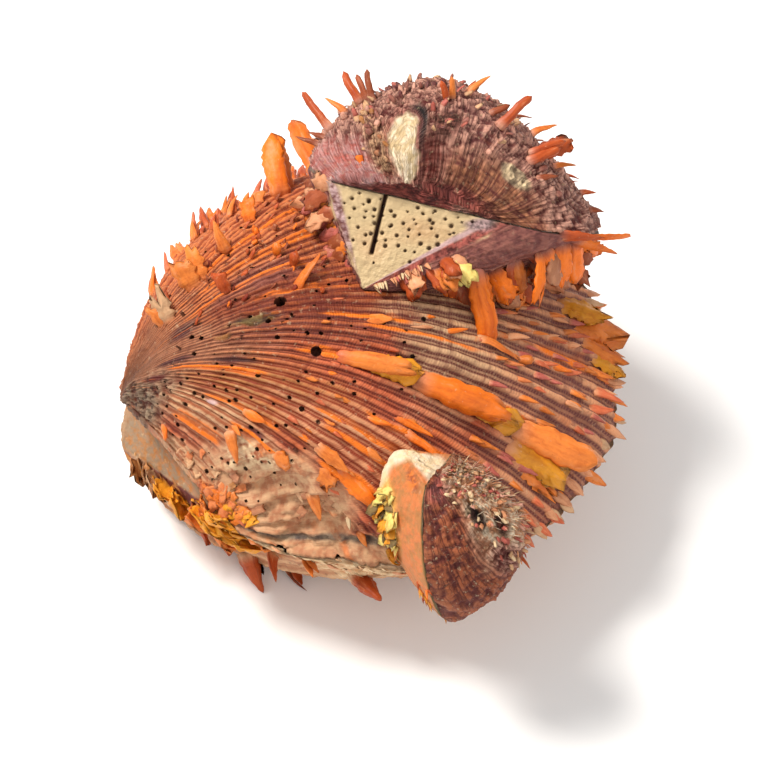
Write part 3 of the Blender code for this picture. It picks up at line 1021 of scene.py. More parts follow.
@dataclass
class Valve:
    """One valve: a ribbed outer surface that grows from its beak, and a bowl inside it."""

    name: str
    seat: Seat
    outline: Outline
    side: int  # 1 for a lid, -1 for a cup
    beak: tuple  # in the oyster's own frame, with its height above the margin's plane
    dome: float
    wall: float
    columns: int
    rows: int
    hinge_share: float  # of the columns, that lie along the hinge line
    finish: ShellFinish
    spine_finish: SpineFinish
    roundness: float = 0.8  # lower is fuller near the beak and the margin
    crown: float = 0.8  # lower puts the highest ring nearer to the beak
    shoulder: float = 0.12  # share of the fan over which the dome rises from each hinge end
    lean: float = 0.0  # how far the dome leans along its own X, in parts of its height
    gape: float = 0.0  # degrees that it stands open
    floor: float | None = None  # depth at which a cup is cut off flat
    length: float = 150.0  # of growth from beak to margin, for the threads
    crest: Shade = Shade.SALMON
    groove: Shade = Shade.MAROON
    crust: float = 0.2  # how rough and speckled it is
    rib_height: float = 0.7
    lumps: float = 0.5  # height of its broad unevenness
    wrinkle: float = 1.6  # millimetres of growth from one growth layer to the next
    wrinkled: float = 0.0  # their height
    ribbed: float = 1.0  # how clear the ribs are, from 0 to 1
    spines: tuple = ()
    scatters: tuple = ()
    patches: tuple = ()
    streaks: tuple = ()
    steps: tuple = ()
    pits: tuple = ()
    slits: tuple = ()
    bores: tuple = ()
    seed: int = 1

    @cached_property
    def surface(self) -> Surface:
        """The outer surface, laid once."""
        return Surface(self)

    def relief(self, surface: Surface) -> np.ndarray:
        """Raises the fine form off the smooth surface: ribs, lumps, crust, layers, steps and holes.

        Args:
            surface: the valve's surface, with its smooth places and painted marks.

        Returns:
            Millimetres outward, one for each point of the grid.
        """
        growth = surface.growth[:, None]
        place = surface.smooth
        phase = surface.across * surface.fan / RIB_COLUMNS
        on_fan = surface.column < surface.fan
        rib = (0.5 + 0.5 * np.cos(math.tau * phase)) ** 1.3 - 0.4
        main = (0.5 + 0.5 * np.cos(math.tau * phase / MAIN_RIBS)) ** 5
        tall = smooth_step(0.03, 0.3, growth) * surface.ribs * on_fan
        uneven = rumple(place, 0.16, 2, 3.0)
        push = self.rib_height * (rib + 0.8 * main) * tall * (1 + 0.4 * uneven)
        push += self.lumps * rumple(place, 0.1, 2)
        push += 0.22 * rumple(place, 0.7, 3, 11.0)
        rough = rumple(place, 0.42, 4, 23.0)
        knobs = np.abs(rumple(place, 0.8, 3, 5.0))
        surface.lift = 0.5 + 0.9 * rough + 0.9 * (knobs - 0.2)
        push += surface.marks[..., 3] * (0.9 * rough + 1.1 * knobs)
        if self.wrinkled:
            run = growth * self.length / self.wrinkle + 0.8 * uneven
            layers = np.dstack((run, surface.across * 9 + 0 * growth, 0 * run))
            push += self.wrinkled * rumple(layers, 1.0, 2, 41.0) * (1 + 0.8 * rough)
        push += self._steps(surface) - self._holes(surface, uneven)
        surface.marks[..., 1] = surface.ribs
        return push * smooth_step(0.0, 0.03, growth)

    def _holes(self, surface: Surface, uneven: np.ndarray) -> np.ndarray:
        """Sinks the pits, pressed holes and slits, and darkens them with painted shade.

        Args:
            surface: the valve's surface, with its smooth places and painted marks.
            uneven: noise from about -1 to 1 that makes them less round.

        Returns:
            Their depth in millimetres, one for each point of the grid.
        """
        growth = surface.growth[:, None]
        place = surface.smooth
        deep = np.zeros_like(surface.ribs)
        for pit in (*self.pits, *self._pressed()):
            away = surface.spot(pit.across, pit.growth) * (1 + 0.25 * uneven)
            sunk = 1 - smooth_step(pit.width * 0.32, pit.width * 0.56, away)
            deep += pit.depth * sunk
            # painted shade in the pits and pressed holes
            surface.marks[..., 2] = np.maximum(surface.marks[..., 2], sunk * pit.dark)
        for slit in self.slits:
            spread = np.linalg.norm(place[:, 1:2] - place[:, :1], axis=2)
            away = surface.apart(slit.across) * surface.fan * spread
            cut = (1 - smooth_step(0.35, 0.75, away / slit.width)) * (growth < slit.end)
            cut = cut * smooth_step(slit.start - 0.05, slit.start, growth)
            deep += slit.depth * cut
            # painted shade along the slit
            surface.marks[..., 2] = np.maximum(surface.marks[..., 2], cut)
        return deep

    def _pressed(self) -> list[Pit]:
        """Spreads the holes that are pressed in evenly over their area.

        Returns:
            A pit for each of them.
        """
        dice = random.Random(self.seed)
        pits = []
        for bores in self.bores:
            for number in range(0 if bores.cut else bores.count):
                aside = (number * SPREAD[0] + dice.uniform(0, JITTER)) % 1
                along = math.sqrt((number * SPREAD[1] + dice.uniform(0, JITTER)) % 1)
                across = bores.across[0] + aside * (bores.across[1] - bores.across[0])
                growth = bores.growth[0] + along * (bores.growth[1] - bores.growth[0])
                width = dice.uniform(*bores.width)
                pits.append(Pit(across, growth, width, bores.depth, PRESSED_SHADE))
        return pits

    def _steps(self, surface: Surface) -> np.ndarray:
        """Raises each growth step towards its torn edge, and drops the surface past it.

        Args:
            surface: the valve's surface.

        Returns:
            Millimetres outward, one for each point of the grid.
        """
        growth = surface.growth[:, None]
        found = np.zeros_like(surface.ribs)
        for step in self.steps:
            torn = 0.035 * rumple(surface.smooth, 0.1, 4, step.growth * 50)
            over = smooth_step(step.start, step.start + 0.04, surface.across)
            over = over - smooth_step(step.end - 0.04, step.end, surface.across)
            past = smooth_step(step.growth, step.growth + 0.012, growth + torn)
            rest = 1 - smooth_step(step.growth + 0.03, min(step.growth + 0.25, 1.0), growth + torn)
            swell = smooth_step(step.growth - 0.12, step.growth, growth + torn)
            found += over * (0.35 * step.drop * swell * (1 - past) - step.drop * past * rest)
        return found

    def build(self, ground: "Ground") -> bpy.types.Object:
        """Makes the valve as one piece in the row frame, with its two finishes.

        Args:
            ground: the great oyster, on which the others ride.

        Returns:
            The new object.
        """
        dice = random.Random(self.seed)
        surface = self.surface
        mesh, grid = self._wrap(surface, ground)
        self._bore(mesh, surface, grid, dice)
        shell = self._object(mesh, self.name + "_shell", self.finish.material())
        thorns = Thorns(surface, dice)
        for spine in (*self.spines, *(s for group in self.scatters for s in group.spines(dice))):
            thorns.grow(spine)
        extra = self._object(thorns.mesh, self.name + "_spines", self.spine_finish.material())
        return join(shell, extra)

    def _wrap(self, surface: Surface, ground: "Ground") -> tuple[bmesh.types.BMesh, dict]:
        """Rolls a skin into the valve: one end is the beak, the other the bowl's middle.

        Args:
            surface: the valve's outer surface.
            ground: the great oyster.

        Returns:
            The mesh, and its outer points by ring and column.
        """
        mesh = bmesh.new()
        layers = add_layers(mesh)
        rings = self.rows + len(BOWL_RINGS) + 1
        grid = {}
        bowl = []
        runs = surface.growth * self.length
        for (ring, column), vert in roll(mesh, self.columns, rings).items():
            if ring > self.rows:
                bowl.append((vert, ring, column))
                continue
            at = (ring, column)
            grid[at] = vert
            vert.co = surface.place[at]
            rib = column / RIB_COLUMNS if column < surface.fan else 0.0
            fan = (rib, runs[ring], surface.lift[at])
            set_layers(vert, layers, fan, surface.crest[at], surface.groove[at], surface.marks[at])
        pearl = Shade.IVORY.linear
        outer = BVHTree.FromPolygons(*surface_faces(surface))
        for vert, ring, column in bowl:
            set_layers(vert, layers, (0, 0, 0), pearl, pearl, NO_MARKS)
            share = 0.0 if ring == rings else BOWL_RINGS[ring - self.rows - 1]
            self._sink(vert, surface, column, share, outer, ground)
        if ground.carries(self):
            for vert in grid.values():
                vert.co.z = max(vert.co.z, ground.height(self, vert.co))
        return mesh, grid

    def _sink(
        self,
        vert: bmesh.types.BMVert,
        surface: Surface,
        column: int,
        share: float,
        outer: BVHTree,
        ground: "Ground",
    ) -> None:
        """Sinks a point of the bowl until it is a wall off the outside, the floor and the ground.

        Args:
            vert: the point.
            surface: the valve's outer surface.
            column: the column that the point is in.
            share: how far out it is, from 0 in the middle to 1 at the margin.
            outer: the outer surface, to be measured against.
            ground: the great oyster.
        """
        rim = surface.margin[column]
        inset = 1 - self.wall / np.linalg.norm(rim - surface.middle)
        plan = surface.middle + (rim - surface.middle) * inset * share
        vert.co = Vector((*plan, self.side * GAP / 2))
        if share == 1:
            return
        hit = outer.ray_cast(Vector((*plan, self.side * FAR)), UP * -self.side)[0]
        limits = [self.wall if hit is None else abs(hit.z)]
        if self.floor is not None:
            limits.append(self.floor)
        if self.side < 0 and ground.carries(self):
            limits.append(-ground.height(self, vert.co))
        height = max(min(limits) - self.wall, GAP)
        vert.co.z = self.side * height
        while height > GAP and outer.find_nearest(vert.co)[3] < self.wall * WALL_LEFT:
            height = max(height - 0.3 * self.wall, GAP)
            vert.co.z = self.side * height

    def _bore(
        self, mesh: bmesh.types.BMesh, surface: Surface, grid: dict, dice: random.Random
    ) -> None:
        """Cuts the round bored holes, with sharp, faintly brown rims and walls darkened with painted
        shade.

        Args:
            mesh: the valve's mesh.
            surface: its outer surface.
            grid: the outer points by ring and column.
            dice: the seeded source of chance.
        """
        marks = mesh.verts.layers.float_color["marks"]
        taken = set()
        holes = []
        for bores in self.bores:
            for _ in range(bores.count if bores.cut else 0):
                across, growth = dice.uniform(*bores.across), dice.uniform(*bores.growth)
                vert = grid[surface.nearest(across, growth)]
                radius = dice.uniform(*bores.width) / 2
                faces = faces_near(vert, radius * RIM_SHARE)
                if faces & taken or any(len(face.verts) != 4 for face in faces):
                    continue
                around = {near for face in faces for v in face.verts for near in v.link_faces}
                taken |= around
                holes.append((vert.co.copy(), radius, bores.depth, faces))
        if not holes:
            return
        made = bmesh.ops.dissolve_faces(
            mesh, faces=[face for hole in holes for face in hole[3]], use_verts=False
        )["region"]
        middles = np.array([hole[0] for hole in holes])
        bmesh.ops.inset_individual(mesh, faces=made, thickness=RIM_WIDTH, use_even_offset=False)
        paired = []
        for face in made:
            centre = face.calc_center_median()
            near = int(((middles - np.array(centre)) ** 2).sum(1).argmin())
            normal = face.normal.copy()
            radius = holes[near][1]
            for vert in face.verts:
                spoke = vert.co - centre
                spoke -= normal * spoke.dot(normal)
                vert.co = centre + spoke.normalized() * radius
                vert[marks] = (*vert[marks][:2], RIM_DARK, vert[marks][3])
            paired.append((normal, holes[near][2]))
            for edge in face.edges:
                edge.smooth = False
        for share, narrow in HOLE_STAGES:
            made = bmesh.ops.extrude_discrete_faces(mesh, faces=made)["faces"]
            for face, (normal, depth) in zip(made, paired):
                centre = face.calc_center_median()
                for vert in face.verts:
                    vert.co = centre + (vert.co - centre) * narrow - normal * depth * share
                    # painted shade on the hole's walls and floor
                    vert[marks] = (0, 0, HOLE_SHADE, 0)

    def _object(
        self, mesh: bmesh.types.BMesh, name: str, material: bpy.types.Material
    ) -> bpy.types.Object:
        """Puts a mesh in the row frame, in metres.

        Args:
            mesh: in the oyster's own frame. It is freed.
            name: the new object's name.
            material: its finish.

        Returns:
            The new object.
        """
        to_metres = Matrix.Scale(MM, 4) @ Matrix.Translation(-CLUSTER_CENTRE)
        frame = self.seat.matrix(self.gape)
        bmesh.ops.transform(mesh, matrix=to_metres @ frame, verts=mesh.verts)
        for vert in mesh.verts:
            vert.co.z = max(vert.co.z, 0.0)
        bmesh.ops.recalc_face_normals(mesh, faces=mesh.faces)
        for face in mesh.faces:
            face.smooth = True
        data = bpy.data.meshes.new(name)
        mesh.to_mesh(data)
        mesh.free()
        data.materials.append(material)
        made = bpy.data.objects.new(name, data)
        bpy.context.scene.collection.objects.link(made)
        return made


def faces_near(vert: bmesh.types.BMVert, radius: float) -> set[bmesh.types.BMFace]:
    """Gathers the faces around a point, within a radius of it, and at least those that touch it.

    Args:
        vert: the point.
        radius: how far to look.

    Returns:
        The faces, all joined to each other.
    """
    found = set(vert.link_faces)
    edge = list(found)
    while edge:
        face = edge.pop()
        for side in face.edges:
            for near in side.link_faces:
                away = (near.calc_center_median() - vert.co).length
                if near not in found and away < radius:
                    found.add(near)
                    edge.append(near)
    return found


def surface_faces(surface: Surface) -> tuple[list, list]:
    """Lists a surface's points and faces, for ray casts against it.

    Args:
        surface: a valve's outer surface.

    Returns:
        The points, and the four points' numbers of each face.
    """
    rings, columns = surface.place.shape[:2]
    number = np.arange(rings * columns).reshape(rings, columns)
    right = np.roll(number, -1, axis=1)
    faces = np.stack((number[:-1], number[1:], right[1:], right[:-1]), axis=-1)
    return surface.place.reshape(-1, 3).tolist(), faces.reshape(-1, 4).tolist()


def join(first: bpy.types.Object, second: bpy.types.Object) -> bpy.types.Object:
    """Joins two objects.

    Args:
        first: the object that stays, with its name.
        second: the object that becomes part of it.

    Returns:
        The first object.
    """
    with bpy.context.temp_override(
        active_object=first, selected_editable_objects=[first, second], object=first
    ):
        bpy.ops.object.join()
    return first


class Ground:
    """The great oyster's outer surface, on which the other oysters grew."""

    def __init__(self, lid: Valve, cup: Valve):
        """Gathers the outer surfaces of the great valves.

        Args:
            lid: the great oyster's upper valve.
            cup: its lower valve.
        """
        self.seat = lid.seat
        self.surfaces = [surface_faces(valve.surface) for valve in (lid, cup)]
        self.trees = {}

    def carries(self, valve: Valve) -> bool:
        """Whether the valve is one that grew on the great oyster."""
        return valve.seat is not self.seat

    def height(self, rider: Valve, place: Vector) -> float:
        """Measures how high the great shell reaches under a place.

        Args:
            rider: the valve that grew on it.
            place: a place in the rider's own frame.

        Returns:
            The lowest height that is clear of it there, far below the rider where it isn't there.
        """
        if rider.name not in self.trees:
            self.trees[rider.name] = self._tree(rider)
        hit = self.trees[rider.name].ray_cast(Vector((place.x, place.y, FAR)), -UP)[0]
        return -FAR if hit is None else hit.z + GAP

    def _tree(self, rider: Valve) -> BVHTree:
        """Turns the great valves' outer surfaces into a rider's own frame.

        Args:
            rider: the valve.

        Returns:
            What rays in the rider's frame are cast against.
        """
        turn = rider.seat.matrix(rider.gape).inverted() @ self.seat.matrix()
        points, faces = [], []
        for some, sides in self.surfaces:
            faces += [[corner + len(points) for corner in side] for side in sides]
            points += [turn @ Vector(point) for point in some]
        return BVHTree.FromPolygons(points, faces)


GREAT_OUTLINE = Outline(
    (
        (-67, -4), (-61, 17), (-45, 43), (-22, 60), (10, 68), (40, 56), (59, 27), (66, 0),
        (67, -26), (56, -46), (40, -62), (13, -70.5), (-6, -69), (-24, -65), (-36, -59),
    )
)
CREST_OUTLINE = Outline(
    (
        (-24, 0), (-30, 13), (-28, 28), (-17, 44), (2, 54), (22, 56), (39, 48), (49, 35),
        (51, 20), (46, 7), (36, 1.5), (24, 0),
    )
)
FLANK_OUTLINE = Outline(
    (
        (-9, 0), (-14, 6), (-17, 18), (-16, 31), (-10, 40), (0, 43), (10, 40), (16, 31),
        (17, 18), (14, 6), (9, 0),
    )
)
GREAT_SEAT = Seat((0, 0, COMMISSURE_HEIGHT), (1, 0, 0), (0, 1, 0))
CREST_SEAT = Seat((11.5, 10.7, 94.3), (0.973, -0.189, -0.133), (0.048, 0.727, -0.685))
FLANK_SEAT = Seat((17.9, -59.6, 69.5), (-0.40, -0.83, 0.40), (0.15, -0.50, -0.85))


@dataclass
class GreatLid(Valve):
    """The great oyster's ribbed upper valve, bored, stained and set with orange spines."""

    name: str = "great_upper_valve"
    seat: Seat = GREAT_SEAT
    outline: Outline = GREAT_OUTLINE
    side: int = 1
    beak: tuple = (-69, -21, 9)
    dome: float = 40
    wall: float = 4.5
    columns: int = 536
    rows: int = 110
    hinge_share: float = 1 / 8
    finish: ShellFinish = ShellFinish("great_lid_shell")
    spine_finish: SpineFinish = SpineFinish("great_lid_spines")
    crust: float = 0.12
    rib_height: float = 0.8
    lumps: float = 0.6
    patches: tuple = (
        Patch(0.50, 0.12, (0.7, 0.22), Shade.FAWN, Shade.COCOA, 0.5, 0.7, 0.2),
        Patch(0.42, 0.38, (0.14, 0.26), Shade.APRICOT, Shade.MAROON, 0.5, 0.85, 0.3),
        Patch(0.20, 0.60, (0.20, 0.50), Shade.APRICOT, Shade.BRICK, 0.5, 0.8, 0.4),
        Patch(0.56, 0.33, (0.05, 0.16), Shade.CLAY, Shade.MAROON, 0.5, 0.7, 0.4),
        # a darker strip under the crest oyster: partly the shell's own maroon, partly painted shadow
        # of the crest oyster
        Patch(0.60, 0.48, (0.035, 0.25), Shade.CLAY, Shade.MAROON, 0.5, 0.8),
        Patch(0.655, 0.42, (0.035, 0.22), Shade.CLAY, Shade.WINE, 0.6, 0.9, strength=0.7),
        Patch(0.80, 0.40, (0.06, 0.20), Shade.TAN, Shade.BRICK, 0.5, 1.0),
        Patch(0.89, 0.33, (0.05, 0.17), Shade.SAND, Shade.CLAY, 0.5, 0.9),
        Patch(0.62, 0.70, (0.10, 0.14), Shade.SAND, Shade.WINE, 0.5, 1.0),
        Patch(0.63, 0.92, (0.20, 0.15), Shade.PEACH, Shade.PLUM, 0.5, 1.3),
        Patch(0.80, 0.62, (0.035, 0.22), Shade.PEACH, Shade.BRICK, 0.5, 1.1),
        Patch(0.93, 0.72, (0.070, 0.24), Shade.SAND, Shade.FAWN, 0.3, 0.06, 0.12),
        Patch(0.90, 0.56, (0.030, 0.08), Shade.CREAM, Shade.CLAY, 0.5, 0.2, 0.2),
        Patch(0.93, 0.98, (0.12, 0.06), Shade.SAND, Shade.FAWN, 0.4, 0.2, 0.2),
        Patch(0.50, 0.30, (0.03, 0.10), Shade.MAUVE, Shade.WINE, 0.6, strength=0.7),
        Patch(0.46, 0.55, (0.04, 0.12), Shade.CLAY, Shade.MAROON, 0.6, strength=0.7),
        Patch(0.93, 0.935, (0.10, 0.014), Shade.STONE, Shade.SLATE, 0.4, 0.3, 0.3),
        Patch(0.985, 0.48, (0.035, 0.20), Shade.SAND, Shade.CLAY, 0.4, 0.5, 0.25),
        Patch(0.985, 0.74, (0.022, 0.10), Shade.TANGERINE, Shade.RUST, 0.4, 0.1, 0.8),
        Patch(1.00, 0.08, (0.22, 0.13), Shade.STONE, Shade.COCOA, 0.4, 0.1, 1.0),
        Patch(0.82, 0.11, (0.03, 0.03), Shade.WINE, Shade.MAROON, 0.5),
        Patch(0.55, 0.14, (0.04, 0.03), Shade.PLUM, Shade.UMBER, 0.5),
        Patch(0.72, 0.13, (0.02, 0.04), Shade.PLUM, Shade.UMBER, 0.5),
        Patch(0.74, 0.26, (0.010, 0.05), Shade.WINE, Shade.UMBER, 0.5),
        Patch(0.88, 0.50, (0.012, 0.03), Shade.PLUM, Shade.WINE, 0.5),
        Patch(0.865, 0.33, (0.007, 0.020), Shade.LILAC, Shade.LILAC, 0.3, 0.2),
        Patch(0.622, 0.27, (0.014, 0.045), Shade.OLIVE, Shade.UMBER, 0.4, 0.1, 0.9),
        Patch(0.660, 0.215, (0.010, 0.018), Shade.TAN, Shade.UMBER, 0.4, 0.2, 0.8),
    )
    streaks: tuple = (
        Streak(0.697, 0.40, 0.88, 0.012),
        Streak(0.700, 0.40, 0.50, 0.010, 0.9),
        Streak(0.765, 0.14, 0.34, 0.012, 0.9),
        Streak(0.845, 0.30, 0.50, 0.010, 0.9),
        Streak(0.885, 0.44, 0.62, 0.012, 0.8),
        Streak(0.625, 0.42, 0.56, 0.010, 0.8),
        Streak(0.920, 0.28, 0.46, 0.014, 0.8),
        Streak(0.845, 0.66, 0.84, 0.014, 1.0),
        Streak(0.785, 0.52, 0.70, 0.007, 0.9),
        Streak(0.765, 0.60, 0.78, 0.007, 0.9),
        Streak(0.805, 0.58, 0.72, 0.007, 0.8),
        Streak(0.640, 0.50, 0.70, 0.007, 0.6),
        Streak(0.500, 0.15, 0.40, 0.012, 0.7),
        Streak(0.440, 0.20, 0.45, 0.014, 0.7),
        Streak(0.380, 0.20, 0.55, 0.014, 0.7),
        Streak(0.560, 0.28, 0.42, 0.008, 0.9),
        Streak(0.610, 0.84, 0.95, 0.012, 0.7),
        Streak(0.985, 0.68, 0.86, 0.020, 0.9),
    )
    steps: tuple = (
        Step(0.58, 0.87, 0.97, 1.6),
        Step(0.66, 0.86, 0.97, 2.4),
        Step(0.75, 0.85, 0.98, 2.4),
        Step(0.84, 0.84, 0.98, 2.2),
        Step(0.89, 0.83, 1.00, 1.4),
        Step(0.80, 0.87, 0.96, 1.2),
        Step(0.93, 0.82, 1.00, 1.2),
        Step(0.965, 0.82, 1.00, 0.9),
    )
    pits: tuple = (
        Pit(0.622, 0.27, 6.0, 1.2, 0.1),
        Pit(0.665, 0.215, 4.0, 1.0, 0.3),
    )
    bores: tuple = (
        Bores(1, (0.587, 0.587), (0.33, 0.33), (3.6, 3.6), 3.2),
        Bores(1, (0.700, 0.700), (0.425, 0.425), (3.0, 3.0), 3.0),
        Bores(64, (0.60, 0.97), (0.14, 0.62), (1.0, 1.7)),
        Bores(110, (0.55, 0.97), (0.12, 0.62), (0.7, 1.2)),
        Bores(110, (0.30, 0.58), (0.12, 0.55), (0.6, 1.1)),
        Bores(14, (0.86, 0.96), (0.60, 0.84), (0.7, 1.2)),
    )
    spines: tuple = (
        Spine(0.320, 0.55, 18, 6.6, 45, -38, 0, SpineShape.BLADE, Shade.ORANGE, 0.35, 0.18),
        Spine(0.310, 0.60, 15, 5.0, 40, -40, 0, SpineShape.TONGUE, Shade.TANGERINE, 0.35, 0.2),
        Spine(0.270, 0.85, 21, 6.0, 45, -38, 0, SpineShape.TONGUE, Shade.ORANGE, 0.45, 0.1),
        Spine(0.330, 0.42, 6.0, 4.5, 45, -35, 0, SpineShape.BLADE, Shade.ORANGE, 0.3, 0.4),
        Spine(0.370, 0.30, 9.0, 3.6, 48, -60, 0, SpineShape.CLAW, Shade.TANGERINE, 0.6),
        Spine(0.385, 0.20, 8.0, 7.0, 40, -65, 0, SpineShape.BLADE, Shade.TANGERINE, 0.25, 0.25),
        Spine(0.385, 0.22, 8.0, 6.0, 35, -60, 0, SpineShape.FRILL, Shade.TANGERINE, 0.2, 0.4),
        Spine(0.440, 0.12, 8.0, 6.0, 30, -65, 0, SpineShape.FRILL, Shade.SAND, 0.22, 0.5),
        Spine(0.420, 0.11, 6.0, 4.0, 35, -70, 0, SpineShape.BLADE, Shade.TANGERINE, 0.3, 0.4),
        Spine(0.490, 0.24, 6.5, 4.0, 50, -75, 0, SpineShape.BLADE, Shade.RUST, 0.4, 0.2),
        Spine(0.460, 0.36, 3.5, 3.0, 60, -20, 0, SpineShape.TONGUE, Shade.ORANGE, 0.6, 0.2),
        Spine(0.700, 0.46, 21, 5.4, 8, 0, 6, SpineShape.TONGUE, Shade.TANGERINE, 0.6, 0.12),
        Spine(0.698, 0.52, 13, 6.8, 10, 0, 8, SpineShape.BLADE, Shade.AMBER, 0.4, 0.3),
        Spine(0.700, 0.62, 27, 8.0, 13, 3, 14, SpineShape.TONGUE, Shade.ORANGE, 0.75, 0.12),
        Spine(0.699, 0.75, 10, 8.0, 12, 4, 10, SpineShape.BLADE, Shade.AMBER, 0.3, 0.5),
        Spine(0.702, 0.82, 27, 8.8, 10, -1, 2, SpineShape.TONGUE, Shade.TANGERINE, 0.35, 0.12),
        Spine(0.718, 0.84, 20, 8.0, 6, 2, 6, SpineShape.FRILL, Shade.AMBER, 0.2, 0.35),
        Spine(0.730, 0.87, 14, 5.0, 4, 4, 6, SpineShape.FRILL, Shade.TANGERINE, 0.2, 0.4),
        Spine(0.845, 0.68, 17, 7.0, 6, 4, 4, SpineShape.CLAW, Shade.ORANGE, 0.4, 0.1),
        Spine(0.835, 0.60, 11, 4.0, 6, 4, 4, SpineShape.SCALE, Shade.TANGERINE, 0.4, 0.1),
        Spine(0.750, 0.63, 12, 2.6, 12, 4, 5, SpineShape.CLAW, Shade.ORANGE),
        Spine(0.762, 0.68, 13, 2.6, 12, 8, 5, SpineShape.CLAW, Shade.ORANGE),
        Spine(0.770, 0.60, 7, 2.4, 14, -10, 5, SpineShape.CLAW, Shade.ORANGE),
        Spine(0.803, 0.66, 6, 2.4, 14, 0, 0, SpineShape.SCALE, Shade.TANGERINE),
        Spine(0.850, 0.40, 7, 3.2, 10, 0, 5, SpineShape.SCALE, Shade.ORANGE),
        Spine(0.800, 0.52, 6, 2.6, 10, 0, 0, SpineShape.SCALE, Shade.TANGERINE),
        Spine(0.895, 0.45, 9, 4.6, 20, 40, 10, SpineShape.CLAW, Shade.TANGERINE),
        Spine(0.890, 0.44, 4, 3.0, 25, 0, 10, SpineShape.CLAW, Shade.TANGERINE),
        Spine(0.955, 0.25, 5, 2.8, 25, 30, 0, SpineShape.TONGUE, Shade.ORANGE),
        Spine(0.885, 0.58, 5, 4.6, 16, -10, 0, SpineShape.FRILL, Shade.TANGERINE, 0.3, 0.4),
        Spine(0.860, 0.66, 6, 4.6, 16, 10, 0, SpineShape.FRILL, Shade.TANGERINE, 0.3, 0.4),
        Spine(0.905, 0.70, 6.5, 3.0, 12, 18, 5, SpineShape.CLAW, Shade.SAND),
        Spine(0.893, 0.75, 8, 4.2, 12, 24, 5, SpineShape.CLAW, Shade.TANGERINE),
        Spine(0.870, 0.72, 4.5, 2.2, 14, -10, 5, SpineShape.CLAW, Shade.SALMON),
        Spine(0.888, 0.90, 4.5, 2.8, 14, 10, 5, SpineShape.CLAW, Shade.TANGERINE),
        Spine(0.880, 0.84, 3.0, 1.8, 20, 30, 5, SpineShape.CLAW, Shade.CREAM),
        Spine(0.560, 0.36, 12, 3.0, 25, -35, 0, SpineShape.CLAW, Shade.ORANGE),
        Spine(0.500, 0.38, 4, 3.2, 60, -20, 0, SpineShape.BLADE, Shade.RUST, 0.5, 0.3),
        Spine(0.632, 0.48, 8.0, 3.8, 10, -6, 5, SpineShape.SCALE, Shade.TANGERINE),
        Spine(0.628, 0.57, 7.0, 1.8, 10, 0, 5, SpineShape.SCALE, Shade.PEACH),
        Spine(0.628, 0.64, 7.0, 1.8, 14, -15, 5, SpineShape.SCALE, Shade.ORANGE),
        Spine(0.622, 0.71, 13, 3.0, 26, 25, 45, SpineShape.CLAW, Shade.TANGERINE),
        Spine(0.632, 0.80, 4, 3.0, 30, 0, 5, SpineShape.TONGUE, Shade.TANGERINE, 0.7),
        Spine(0.625, 0.86, 7, 3.0, 12, 5, 5, SpineShape.CLAW, Shade.ORANGE),
        Spine(0.560, 0.92, 16, 10.0, 16, 12, 0, SpineShape.FRILL, Shade.TANGERINE, 0.14, 0.35),
        Spine(0.545, 0.91, 13, 8.0, 22, 25, 0, SpineShape.FRILL, Shade.AMBER, 0.16, 0.4),
        Spine(0.580, 0.93, 13, 7.0, 12, 22, 0, SpineShape.FRILL, Shade.TANGERINE, 0.16, 0.4),
        Spine(0.595, 0.95, 9, 6.0, 12, 25, 0, SpineShape.FRILL, Shade.AMBER, 0.16, 0.4),
        Spine(0.610, 0.94, 8, 3.4, 18, 15, 0, SpineShape.CLAW, Shade.TANGERINE),
        Spine(0.630, 0.95, 9, 3.4, 16, 10, 0, SpineShape.CLAW, Shade.SALMON),
        Spine(0.650, 0.94, 8, 3.6, 18, -15, 0, SpineShape.CLAW, Shade.SALMON),
    )
